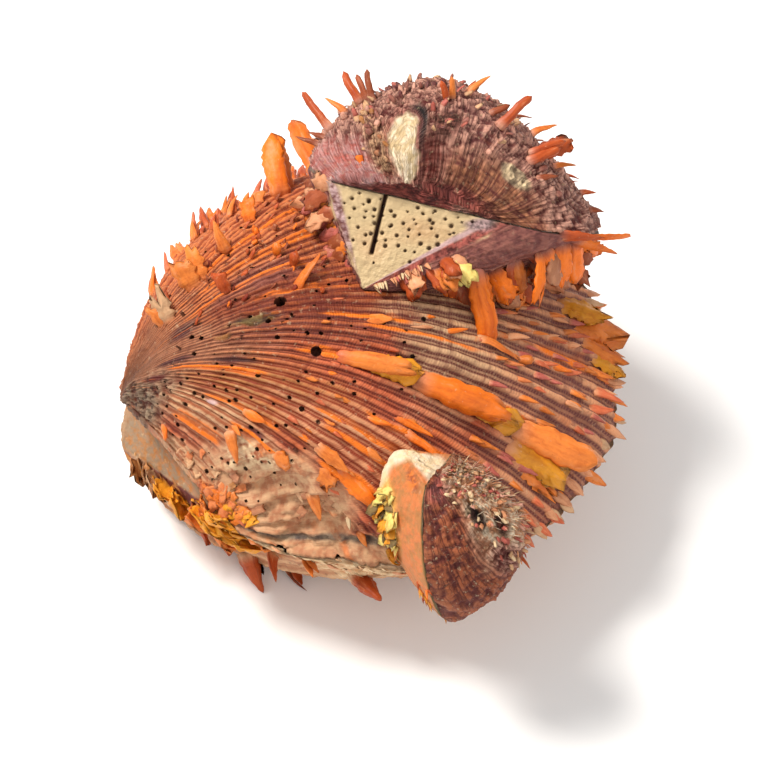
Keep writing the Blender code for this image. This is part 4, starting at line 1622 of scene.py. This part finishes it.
    scatters: tuple = (
        Scatter(70, (0.30, 0.58), (0.16, 0.55), (0.8, 2.2), (0.7, 1.6),
                (Shade.BRICK, Shade.RUST, Shade.CLAY, Shade.APRICOT, Shade.ORANGE), (15, 50),
                (-60, 20), SpineShape.FRILL, 0.4, 0.5),
        Scatter(140, (0.50, 0.83), (0.74, 0.97), (3.0, 6.5), (1.6, 2.6),
                (Shade.SALMON, Shade.PEACH, Shade.TANGERINE, Shade.ROSE, Shade.APRICOT),
                (8, 24), (-8, 16), SpineShape.CLAW, 0.5, 0.0, 1.0, 67.0),
        Scatter(54, (0.52, 0.86), (0.965, 0.99), (4.0, 8.0), (2.2, 3.6),
                (Shade.PEACH, Shade.SALMON, Shade.TANGERINE, Shade.SAND),
                (4, 14), (-5, 8), SpineShape.SCALE, 0.4, 0.1, 1.0, 67.0),
        Scatter(10, (0.26, 0.48), (0.50, 0.97), (3, 6), (2.4, 4.5),
                (Shade.ORANGE, Shade.RUST, Shade.TANGERINE), (25, 50), (-50, 10),
                SpineShape.BLADE, 0.3, 0.3, 4.0, 67.0),
        Scatter(36, (0.13, 0.26), (0.46, 0.96), (4, 10), (2.2, 3.6),
                (Shade.ORANGE, Shade.RUST, Shade.TANGERINE, Shade.SALMON), (20, 40), (-12, 12),
                SpineShape.CLAW, 0.5, 0.1, 4.0, 67.0),
        Scatter(36, (0.13, 0.36), (0.95, 0.99), (3.0, 6.0), (2.0, 3.4),
                (Shade.PEACH, Shade.SALMON, Shade.TANGERINE),
                (6, 18), (-6, 8), SpineShape.SCALE, 0.4, 0.1, 1.0, 67.0),
        Scatter(26, (0.60, 0.86), (0.40, 0.76), (2.0, 4.0), (1.2, 1.8),
                (Shade.TANGERINE, Shade.SALMON, Shade.ORANGE), (6, 14), (-8, 8),
                SpineShape.SCALE, 0.5, 0.0, 1.0, 67.0),
        Scatter(40, (0.965, 0.995), (0.66, 0.84), (1.5, 3.5), (3.0, 6.0),
                (Shade.AMBER, Shade.TANGERINE, Shade.APRICOT), (5, 25), (-10, 50),
                SpineShape.FRILL, 0.12, 0.6),
        Scatter(24, (0.95, 0.995), (0.36, 0.66), (1.2, 2.6), (3.0, 6.0),
                (Shade.SAND, Shade.TAN, Shade.FAWN, Shade.APRICOT), (4, 14), (-10, 30),
                SpineShape.FRILL, 0.1, 0.6),
        Scatter(12, (0.87, 0.96), (0.58, 0.92), (1.5, 3.0), (3.0, 6.0),
                (Shade.SAND, Shade.FAWN), (3, 7), (-20, 40),
                SpineShape.FRILL, 0.1, 0.6),
    )
    seed: int = 11


@dataclass
class GreatCup(Valve):
    """The great oyster's cemented lower valve, with its hinge area, frills and cut-off underside."""

    name: str = "great_lower_valve"
    seat: Seat = GREAT_SEAT
    outline: Outline = GREAT_OUTLINE
    side: int = -1
    beak: tuple = (-70, -21, 15)
    dome: float = 46
    wall: float = 4.5
    columns: int = 441
    rows: int = 84
    hinge_share: float = 1 / 7
    finish: ShellFinish = ShellFinish("great_cup_shell")
    spine_finish: SpineFinish = SpineFinish("great_cup_spines")
    floor: float = COMMISSURE_HEIGHT
    length: float = 130
    crest: Shade = Shade.SAND
    groove: Shade = Shade.FAWN
    crust: float = 0.35
    rib_height: float = 0.7
    patches: tuple = (
        Patch(0.92, 0.95, (0.12, 0.08), Shade.CREAM, Shade.TAN, 0.5, 0.4),
        Patch(1.08, 0.50, (0.08, 0.90), Shade.STONE, Shade.TAN, 0.25, 0.0, 0.05),
        Patch(1.00, 0.60, (0.012, 0.45), Shade.PLUM, Shade.WINE, 0.5, 0.1, 0.3),
        Patch(0.96, 0.40, (0.03, 0.40), Shade.AMBER, Shade.RUST, 0.5, 0.3, 0.5),
    )
    spines: tuple = (
        Spine(0.880, 0.88, 12, 7.0, 30, -10, 0, SpineShape.CLAW, Shade.RUST, 0.7),
        Spine(0.920, 0.35, 9, 3.0, 30, 20, 0, SpineShape.ROD, Shade.RUST, 0.5, 0.3),
        Spine(0.940, 0.50, 9, 4.0, 30, 0, 0, SpineShape.ROD, Shade.RUST, 0.5, 0.3),
        Spine(0.970, 0.35, 10, 9.0, 30, 20, 0, SpineShape.FRILL, Shade.AMBER, 0.2, 0.4),
        Spine(0.980, 0.22, 8, 8.0, 30, 20, 0, SpineShape.FRILL, Shade.TAN, 0.2, 0.4),
        Spine(0.900, 0.50, 12, 7.0, 30, -50, 0, SpineShape.CLAW, Shade.RUST, 0.7),
    )
    scatters: tuple = (
        Scatter(26, (0.960, 1.0), (0.12, 0.46), (3, 6), (4, 8),
                (Shade.AMBER, Shade.TAN, Shade.SAND), (10, 50), (0, 60),
                SpineShape.FRILL, 0.16, 0.5),
        Scatter(22, (0.95, 1.0), (0.40, 0.84), (5, 9), (7, 12),
                (Shade.AMBER, Shade.AMBER, Shade.TANGERINE), (10, 45), (0, 50),
                SpineShape.BLADE, 0.2, 0.25),
        Scatter(30, (0.05, 0.93), (0.40, 0.95), (5, 11), (2.4, 4.5),
                (Shade.RUST, Shade.TANGERINE, Shade.CLAY), on_ribs=4.0, ribs=56.0),
        Scatter(90, (0.80, 0.97), (0.88, 0.985), (1.5, 3.0), (2.0, 5.0),
                (Shade.SAND, Shade.CREAM, Shade.PEACH), (3, 12), (-10, 10),
                SpineShape.FRILL, 0.2, 0.6),
        Scatter(60, (0.05, 0.80), (0.90, 0.99), (1.5, 3.5), (1.2, 2.4),
                (Shade.SAND, Shade.TANGERINE, Shade.CREAM), (5, 20)),
    )
    seed: int = 12


@dataclass
class CrestLid(Valve):
    """The second oyster's rugged purple-brown lid, with its worn white beak and orange rods."""

    name: str = "crest_upper_valve"
    seat: Seat = CREST_SEAT
    outline: Outline = CREST_OUTLINE
    side: int = 1
    beak: tuple = (-4, -3, 5)
    dome: float = 27
    lean: float = -0.42
    wall: float = 3.0
    gape: float = 3.0
    columns: int = 420
    rows: int = 116
    hinge_share: float = 1 / 6
    finish: ShellFinish = ShellFinish(
        "crest_lid_shell", thread=1.3, threads=0.3, rings=0.75, warmth=0.1, speckle=0.4, pores=0.4
    )
    spine_finish: SpineFinish = SpineFinish("crest_lid_spines")
    length: float = 85
    crest: Shade = Shade.BLUSH
    groove: Shade = Shade.WINE
    crust: float = 0.8
    rib_height: float = 0.12
    lumps: float = 1.1
    wrinkled: float = 0.6
    ribbed: float = 0.15
    patches: tuple = (
        Patch(0.955, 0.70, (0.060, 0.42), Shade.FAWN, Shade.WINE, 0.4, 0.5, 0.35),
        Patch(0.02, 0.60, (0.070, 0.50), Shade.LILAC, Shade.ROSE, 0.4, 0.4, 0.3),
        Patch(0.14, 0.18, (0.14, 0.15), Shade.SAND, Shade.COCOA, 0.5, 0.8, 0.9),
        Patch(0.35, 0.30, (0.20, 0.16), Shade.BLUSH, Shade.WINE, 0.5, 0.3, 0.9),
        Patch(0.55, 0.45, (0.22, 0.25), Shade.BLUSH, Shade.WINE, 0.5, 0.2, 1.1),
        Patch(0.80, 0.50, (0.10, 0.20), Shade.BLUSH, Shade.PLUM, 0.5, 0.3, 0.8),
        Patch(0.93, 0.24, (0.05, 0.12), Shade.MAUVE, Shade.MAROON, 0.5, 0.8, 0.5),
        Patch(0.86, 0.30, (0.05, 0.10), Shade.MAUVE, Shade.UMBER, 0.5, 0.8, 0.6),
        Patch(0.72, 0.155, (0.20, 0.045), Shade.SLATE, Shade.BLACK, 0.3, 1.0, 0.5),
        Patch(0.60, 0.0, (0.53, 0.165), Shade.ROSE, Shade.WINE, 0.25, 0.2, 0.3),
        Patch(0.60, 0.0, (0.51, 0.145), Shade.IVORY, Shade.BONE, 0.12, 0.0, 0.05),
        Patch(1.10, 0.45, (0.09, 0.80), Shade.ROSE, Shade.PLUM, 0.3, 0.0, 0.15),
        Patch(1.00, 0.50, (0.025, 0.30), Shade.ROSE, Shade.WINE, 0.4, 0.1, 0.3),
        Patch(0.90, 0.74, (0.018, 0.07), Shade.CREAM, Shade.STONE, 0.2, 0.1, 1.2),
    )
    spines: tuple = (
        Spine(0.12, 0.70, 14, 2.8, 45, 60, 0, SpineShape.ROD, Shade.RUST, 0.6),
        Spine(0.23, 0.50, 11, 2.8, 50, 25, 0, SpineShape.ROD, Shade.RUST, 0.6),
        Spine(0.26, 0.40, 9, 2.4, 50, 40, 0, SpineShape.ROD, Shade.CLAY, 0.6),
        Spine(0.25, 0.46, 8, 2.2, 55, 30, 0, SpineShape.ROD, Shade.CLAY, 0.6),
        Spine(0.74, 0.30, 5.5, 2.5, 50, -110, 0, SpineShape.ROD, Shade.RUST, 0.6),
        Spine(0.73, 0.33, 6, 2.2, 50, -90, 0, SpineShape.ROD, Shade.TANGERINE, 0.6),
        Spine(0.70, 0.42, 8, 2.5, 45, 0, 0, SpineShape.CLAW, Shade.TANGERINE, 0.6),
        Spine(0.78, 0.50, 6, 2.5, 40, -20, 0, SpineShape.ROD, Shade.CLAY, 0.6),
        Spine(0.82, 0.55, 12, 3.0, 45, -65, 0, SpineShape.ROD, Shade.RUST, 0.6),
        Spine(0.82, 0.72, 12, 5.5, 35, -50, 0, SpineShape.BLADE, Shade.RUST, 0.35, 0.3),
        Spine(0.83, 0.70, 11, 2.6, 38, -45, 0, SpineShape.ROD, Shade.RUST, 0.6),
        Spine(0.85, 0.72, 10, 3.0, 30, -55, 0, SpineShape.ROD, Shade.RUST, 0.6),
        Spine(0.87, 0.78, 6, 2.2, 30, -40, 0, SpineShape.CLAW, Shade.CLAY, 0.6),
        Spine(0.03, 0.45, 3, 2.0, 20, 60, 0, SpineShape.BLADE, Shade.ORANGE, 0.3, 0.3),
    )
    scatters: tuple = (
        Scatter(170, (0.10, 0.90), (0.20, 0.90), (0.8, 2.0), (0.8, 2.0),
                (Shade.BLUSH, Shade.ROSE, Shade.MAUVE, Shade.SAND, Shade.PLUM), (15, 70),
                (-60, 60), SpineShape.FRILL, 0.35, 0.6),
        Scatter(16, (0.06, 0.24), (0.10, 0.36), (0.6, 1.2), (0.8, 1.6),
                (Shade.SAND, Shade.FAWN, Shade.TAN), (15, 40), (-30, 30),
                SpineShape.FRILL, 0.3, 0.5),
        Scatter(26, (0.10, 0.80), (0.55, 0.96), (4, 9), (1.8, 2.8),
                (Shade.RUST, Shade.CLAY, Shade.TANGERINE), (35, 60)),
    )
    seed: int = 13


@dataclass
class CrestCup(Valve):
    """The second oyster's cup: a pitted cream hinge area, mauve flanks and orange-brown frills."""

    name: str = "crest_lower_valve"
    seat: Seat = CREST_SEAT
    outline: Outline = CREST_OUTLINE
    side: int = -1
    beak: tuple = (-8, -7, 25)
    dome: float = 9
    shoulder: float = 0.4
    wall: float = 3.0
    columns: int = 476
    rows: int = 116
    hinge_share: float = 1 / 4
    finish: ShellFinish = ShellFinish(
        "crest_cup_shell", threads=0.15, warmth=0.0, speckle=0.15, pores=0.3, coat=0.15
    )
    spine_finish: SpineFinish = SpineFinish("crest_cup_spines")
    length: float = 60
    crest: Shade = Shade.MAUVE
    groove: Shade = Shade.WINE
    crust: float = 0.3
    rib_height: float = 0.3
    patches: tuple = (
        Patch(0.930, 0.70, (0.070, 0.60), Shade.MAUVE, Shade.PLUM, 0.4, 0.25, 0.2),
        Patch(1.167, 0.60, (0.167, 2.5), Shade.BONE, Shade.BONE, 0.08, 0.0, 0.12),
        Patch(1.100, 0.72, (0.058, 0.13), Shade.TAN, Shade.SAND, 0.9, strength=0.45),
        Patch(1.217, 0.45, (0.067, 0.16), Shade.SAND, Shade.SAND, 0.9, strength=0.4),
        Patch(1.020, 0.55, (0.012, 0.60), Shade.LILAC, Shade.LILAC, 0.6, 0.1, 0.1),
        Patch(1.000, 0.60, (0.012, 0.55), Shade.ROSE, Shade.WINE, 0.5, 0.1, 0.3),
        Patch(1.027, 0.93, (0.025, 0.06), Shade.LILAC, Shade.SLATE, 0.6, 0.1, 0.1),
        Patch(1.327, 0.70, (0.012, 0.40), Shade.LILAC, Shade.PLUM, 0.6, 0.1, 0.3),
    )
    slits: tuple = (Slit(1.222, 0.40, 1.1, 1.3, 2.2),)
    bores: tuple = (
        Bores(60, (1.03, 1.31), (0.24, 0.96), (0.65, 1.3), 1.0, False),
    )
    spines: tuple = (
        Spine(0.80, 0.92, 14, 4.5, 20, -60, 0, SpineShape.TONGUE, Shade.ORANGE),
        Spine(0.84, 0.82, 12, 3.5, 25, -80, 0, SpineShape.CLAW, Shade.RUST),
        Spine(0.89, 0.55, 23, 6.5, 28, -95, 0, SpineShape.TONGUE, Shade.ORANGE, 0.45, 0.15),
        Spine(0.86, 0.70, 12, 5.0, 30, -90, 10, SpineShape.TONGUE, Shade.TANGERINE, 0.3, 0.2),
        Spine(0.87, 0.84, 14, 5.0, 26, -75, 0, SpineShape.CLAW, Shade.ORANGE, 0.3, 0.2),
        Spine(0.86, 0.95, 16, 4.5, 16, -40, 0, SpineShape.CLAW, Shade.ORANGE, 0.35, 0.1),
        Spine(0.90, 0.97, 12, 4.0, 10, -20, 0, SpineShape.CLAW, Shade.RUST, 0.35, 0.1),
        Spine(0.83, 0.97, 16, 4.0, 12, -30, 0, SpineShape.TONGUE, Shade.ORANGE, 0.35, 0.1),
        Spine(0.80, 0.65, 9, 3.5, 25, -75, 0, SpineShape.CLAW, Shade.RUST),
        Spine(0.04, 0.90, 9, 4.0, 25, 120, 0, SpineShape.BLADE, Shade.TANGERINE, 0.3, 0.4),
        Spine(0.65, 0.90, 10, 4.0, 25, -40, 0, SpineShape.CLAW, Shade.RUST),
        Spine(0.98, 0.58, 9, 5.5, 20, -75, 0, SpineShape.FRILL, Shade.LEMON, 0.15, 0.4),
    )
    scatters: tuple = (
        Scatter(66, (0.74, 0.87), (0.40, 0.95), (8, 15), (3, 7),
                (Shade.RUST, Shade.CLAY, Shade.TANGERINE, Shade.ORANGE, Shade.FAWN), (15, 60),
                (-130, -50), SpineShape.BLADE, 0.12, 0.3),
        Scatter(30, (0.60, 0.87), (0.70, 0.97), (8, 15), (2.5, 4.5),
                (Shade.RUST, Shade.ORANGE, Shade.TANGERINE), (10, 40), (-110, -50),
                SpineShape.CLAW, 0.35, 0.2),
        Scatter(60, (0.0, 0.14), (0.25, 0.95), (4, 9), (2.5, 6),
                (Shade.ROSE, Shade.CLAY, Shade.PEACH, Shade.TANGERINE), (15, 50), (50, 130),
                SpineShape.FRILL, 0.14, 0.5),
        Scatter(30, (0.985, 1.0), (0.08, 0.45), (1.5, 3.5), (0.8, 1.6),
                (Shade.PEACH, Shade.ROSE, Shade.CREAM), (30, 60), (-110, -70)),
        Scatter(14, (0.955, 0.985), (0.20, 0.60), (4, 8), (2.4, 4.5),
                (Shade.TANGERINE, Shade.PEACH, Shade.RUST), (20, 50), (-110, -70),
                SpineShape.FRILL, 0.16, 0.4),
    )
    seed: int = 14


@dataclass
class FlankLid(Valve):
    """The small oyster's dark lid, crusted with pale growths and fine bristles."""

    name: str = "flank_upper_valve"
    seat: Seat = FLANK_SEAT
    outline: Outline = FLANK_OUTLINE
    side: int = 1
    beak: tuple = (0, -3, 5)
    dome: float = 18
    roundness: float = 0.6
    crown: float = 0.95
    wall: float = 1.8
    columns: int = 336
    rows: int = 84
    hinge_share: float = 1 / 6
    finish: ShellFinish = ShellFinish(
        "flank_lid_shell", Shade.UMBER, threads=0.1, rings=0.8, speckle=0.6, pores=0.4
    )
    spine_finish: SpineFinish = SpineFinish("flank_lid_spines", dull=0.6, coat=0.0)
    length: float = 45
    crest: Shade = Shade.FAWN
    groove: Shade = Shade.WINE
    crust: float = 0.5
    rib_height: float = 0.2
    lumps: float = 1.0
    wrinkled: float = 0.3
    ribbed: float = 0.25
    patches: tuple = (
        Patch(0.75, 0.80, (0.40, 0.30), Shade.CLAY, Shade.WINE, 0.6, 0.2, 0.6, 0.8),
        Patch(0.965, 0.60, (0.035, 0.40), Shade.ROSE, Shade.PLUM, 0.4, 0.2, 0.2),
        Patch(0.74, 0.28, (0.26, 0.33), Shade.IVORY, Shade.PEACH, 0.35, 0.0, 1.3),
        Patch(0.80, 0.50, (0.06, 0.07), Shade.UMBER, Shade.BLACK, 0.5, 0.2, 1.0),
        Patch(0.66, 0.40, (0.04, 0.08), Shade.COCOA, Shade.BLACK, 0.5, 0.2, 1.0),
        Patch(0.84, 0.55, (0.015, 0.04), Shade.STONE, Shade.OLIVE, 0.4, 0.2, 1.0),
        Patch(0.60, 0.58, (0.09, 0.09), Shade.BLUSH, Shade.WINE, 0.5, 0.2, 1.2),
    )
    spines: tuple = (
        Spine(0.25, 0.75, 4, 1.8, 35, 0, 0, SpineShape.CLAW, Shade.CLAY),
        Spine(0.40, 0.85, 4, 1.8, 35, 0, 0, SpineShape.CLAW, Shade.RUST),
        Spine(0.50, 0.60, 4, 1.8, 45, 0, 0, SpineShape.CLAW, Shade.RUST),
    )
    scatters: tuple = (
        Scatter(260, (0.45, 0.98), (0.03, 0.46), (1.2, 4.0), (0.25, 0.45),
                (Shade.IVORY, Shade.CREAM, Shade.PEACH, Shade.BLUSH), (30, 85), (-90, 90),
                SpineShape.NEEDLE, 0.8),
        Scatter(130, (0.42, 0.98), (0.05, 0.62), (0.8, 2.0), (0.7, 1.5),
                (Shade.PEACH, Shade.CREAM, Shade.ROSE, Shade.BLUSH, Shade.SAND), (20, 70),
                (-60, 60), SpineShape.FRILL, 0.4, 0.6),
    )
    seed: int = 15


@dataclass
class FlankCup(Valve):
    """The small oyster's orange-tan cup with its white beak and yellow frills."""

    name: str = "flank_lower_valve"
    seat: Seat = FLANK_SEAT
    outline: Outline = FLANK_OUTLINE
    side: int = -1
    beak: tuple = (-1, -5, 10)
    dome: float = 12
    wall: float = 1.8
    columns: int = 336
    rows: int = 84
    hinge_share: float = 1 / 6
    finish: ShellFinish = ShellFinish(
        "flank_cup_shell", threads=0.1, rings=0.2, warmth=0.2, speckle=0.1, pores=0.3, coat=0.12
    )
    spine_finish: SpineFinish = SpineFinish("flank_cup_spines")
    length: float = 45
    crest: Shade = Shade.APRICOT
    groove: Shade = Shade.TAN
    crust: float = 0.1
    rib_height: float = 0.05
    ribbed: float = 0.15
    lumps: float = 0.35
    patches: tuple = (
        Patch(0.72, 0.42, (0.12, 0.22), Shade.LEMON, Shade.AMBER, 0.5, 0.3, 0.4),
        Patch(0.97, 0.62, (0.03, 0.25), Shade.TANGERINE, Shade.CLAY, 0.5),
        Patch(0.90, 1.00, (0.50, 0.010), Shade.OLIVE, Shade.OLIVE, 0.4),
        Patch(1.10, 0.50, (0.085, 0.90), Shade.IVORY, Shade.CREAM, 0.25, 0.0, 0.2),
        Patch(0.80, 0.0, (0.60, 0.26), Shade.IVORY, Shade.CREAM, 0.3, 0.0, 0.2),
    )
    slits: tuple = (Slit(1.09, 0.50, 0.95, 0.7, 1.0),)
    scatters: tuple = (
        Scatter(40, (0.58, 0.84), (0.25, 0.62), (2.0, 5.0), (3.0, 5.5),
                (Shade.LEMON, Shade.AMBER, Shade.OLIVE, Shade.TANGERINE), (10, 45), (-60, 60),
                SpineShape.FRILL, 0.14, 0.6),
        Scatter(34, (0.30, 0.75), (0.84, 0.98), (1.4, 3.2), (1.4, 2.6),
                (Shade.ORANGE, Shade.RUST, Shade.AMBER), (10, 40)),
    )
    seed: int = 16


@dataclass
class Studio:
    """The camera at the photograph's viewing angle, a plain pale floor and soft light."""

    elevation: float = 55.0
    distance: float = 1.0
    sensor: float = 36.0
    width_seen: float = 0.2142  # metres across the picture at the target
    target: tuple = (0.0, 1.3, 41.0)  # millimetres, in the cluster's frame
    right: float = 2.94  # millimetres that the camera is moved beside and below the target
    down: float = 9.8
    floor_reach: float = 3.0  # metres from its middle to its sides
    floor_gap: float = 0.0002  # metres under the cluster
    floor_colour: tuple = (0.93, 0.93, 0.93, 1)

    def camera(self) -> bpy.types.Object:
        """Places the camera and makes it the scene's.

        Returns:
            The camera.
        """
        rise = math.radians(self.elevation)
        back = Vector((0, -math.cos(rise), math.sin(rise)))
        up = Vector((0, math.sin(rise), math.cos(rise)))
        data = bpy.data.cameras.new("camera")
        data.sensor_width = self.sensor
        data.lens = self.sensor * self.distance / self.width_seen
        made = bpy.data.objects.new("camera", data)
        middle = (Vector(self.target) - CLUSTER_CENTRE) * MM
        aside = Vector((self.right, 0, 0)) - up * self.down
        made.location = middle + aside * MM + back * self.distance
        made.rotation_euler = (-back).to_track_quat("-Z", "Y").to_euler()
        bpy.context.scene.collection.objects.link(made)
        bpy.context.scene.camera = made
        return made

    def floor(self) -> bpy.types.Object:
        """Lays a wide pale floor, just under the cluster.

        Returns:
            The floor.
        """
        mesh = bmesh.new()
        bmesh.ops.create_grid(mesh, x_segments=1, y_segments=1, size=self.floor_reach)
        data = bpy.data.meshes.new("floor")
        mesh.to_mesh(data)
        mesh.free()
        paint = Paint("floor")
        paint.shader.inputs["Base Color"].default_value = self.floor_colour
        paint.shader.inputs["Roughness"].default_value = 0.9
        data.materials.append(paint.material)
        made = bpy.data.objects.new("floor", data)
        made.location = (0, 0, -self.floor_gap)
        bpy.context.scene.collection.objects.link(made)
        return made

    def lamp(self, name: str, place: tuple, power: float, size: float) -> bpy.types.Object:
        """Hangs one soft lamp that faces the cluster.

        Args:
            name: its name.
            place: where it hangs, in metres.
            power: in watts.
            size: its side, in metres.

        Returns:
            The lamp.
        """
        data = bpy.data.lights.new(name, "AREA")
        data.energy = power
        data.size = size
        data.color = WARM
        made = bpy.data.objects.new(name, data)
        made.location = place
        made.rotation_euler = (-Vector(place)).to_track_quat("-Z", "Y").to_euler()
        bpy.context.scene.collection.objects.link(made)
        return made

    def light(self) -> None:
        """Sets a large key lamp at the upper left, a weak fill lamp and a pale surround."""
        self.lamp("key", (-0.9, 0.45, 1.6), 44.0, 0.6)
        self.lamp("fill", (0.6, -0.9, 0.8), 4.0, 0.9)
        world = bpy.data.worlds.new("surround")
        world.use_nodes = True
        background = world.node_tree.nodes["Background"]
        background.inputs["Color"].default_value = (1.0, 1.0, 1.0, 1)
        background.inputs["Strength"].default_value = 0.6
        bpy.context.scene.world = world
        bpy.context.scene.view_settings.view_transform = "Standard"

    def build(self) -> None:
        """Sets the whole stage."""
        self.camera()
        self.floor()
        self.light()


def main() -> None:
    """Builds the six valves over their solids, then the studio."""
    logging.basicConfig(level=logging.INFO, format="%(message)s")
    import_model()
    lid, cup = GreatLid(), GreatCup()
    ground = Ground(lid, cup)
    for valve in (lid, cup, CrestLid(), CrestCup(), FlankLid(), FlankCup()):
        made = valve.build(ground)
        node = valve.name
        made.name = node + "_dressed"
        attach(made, "root")
        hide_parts(node)
        LOG.info("%s: %d faces", made.name, len(made.data.polygons))
    Studio().build()
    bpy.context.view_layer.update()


if __name__ == "__main__":
    main()
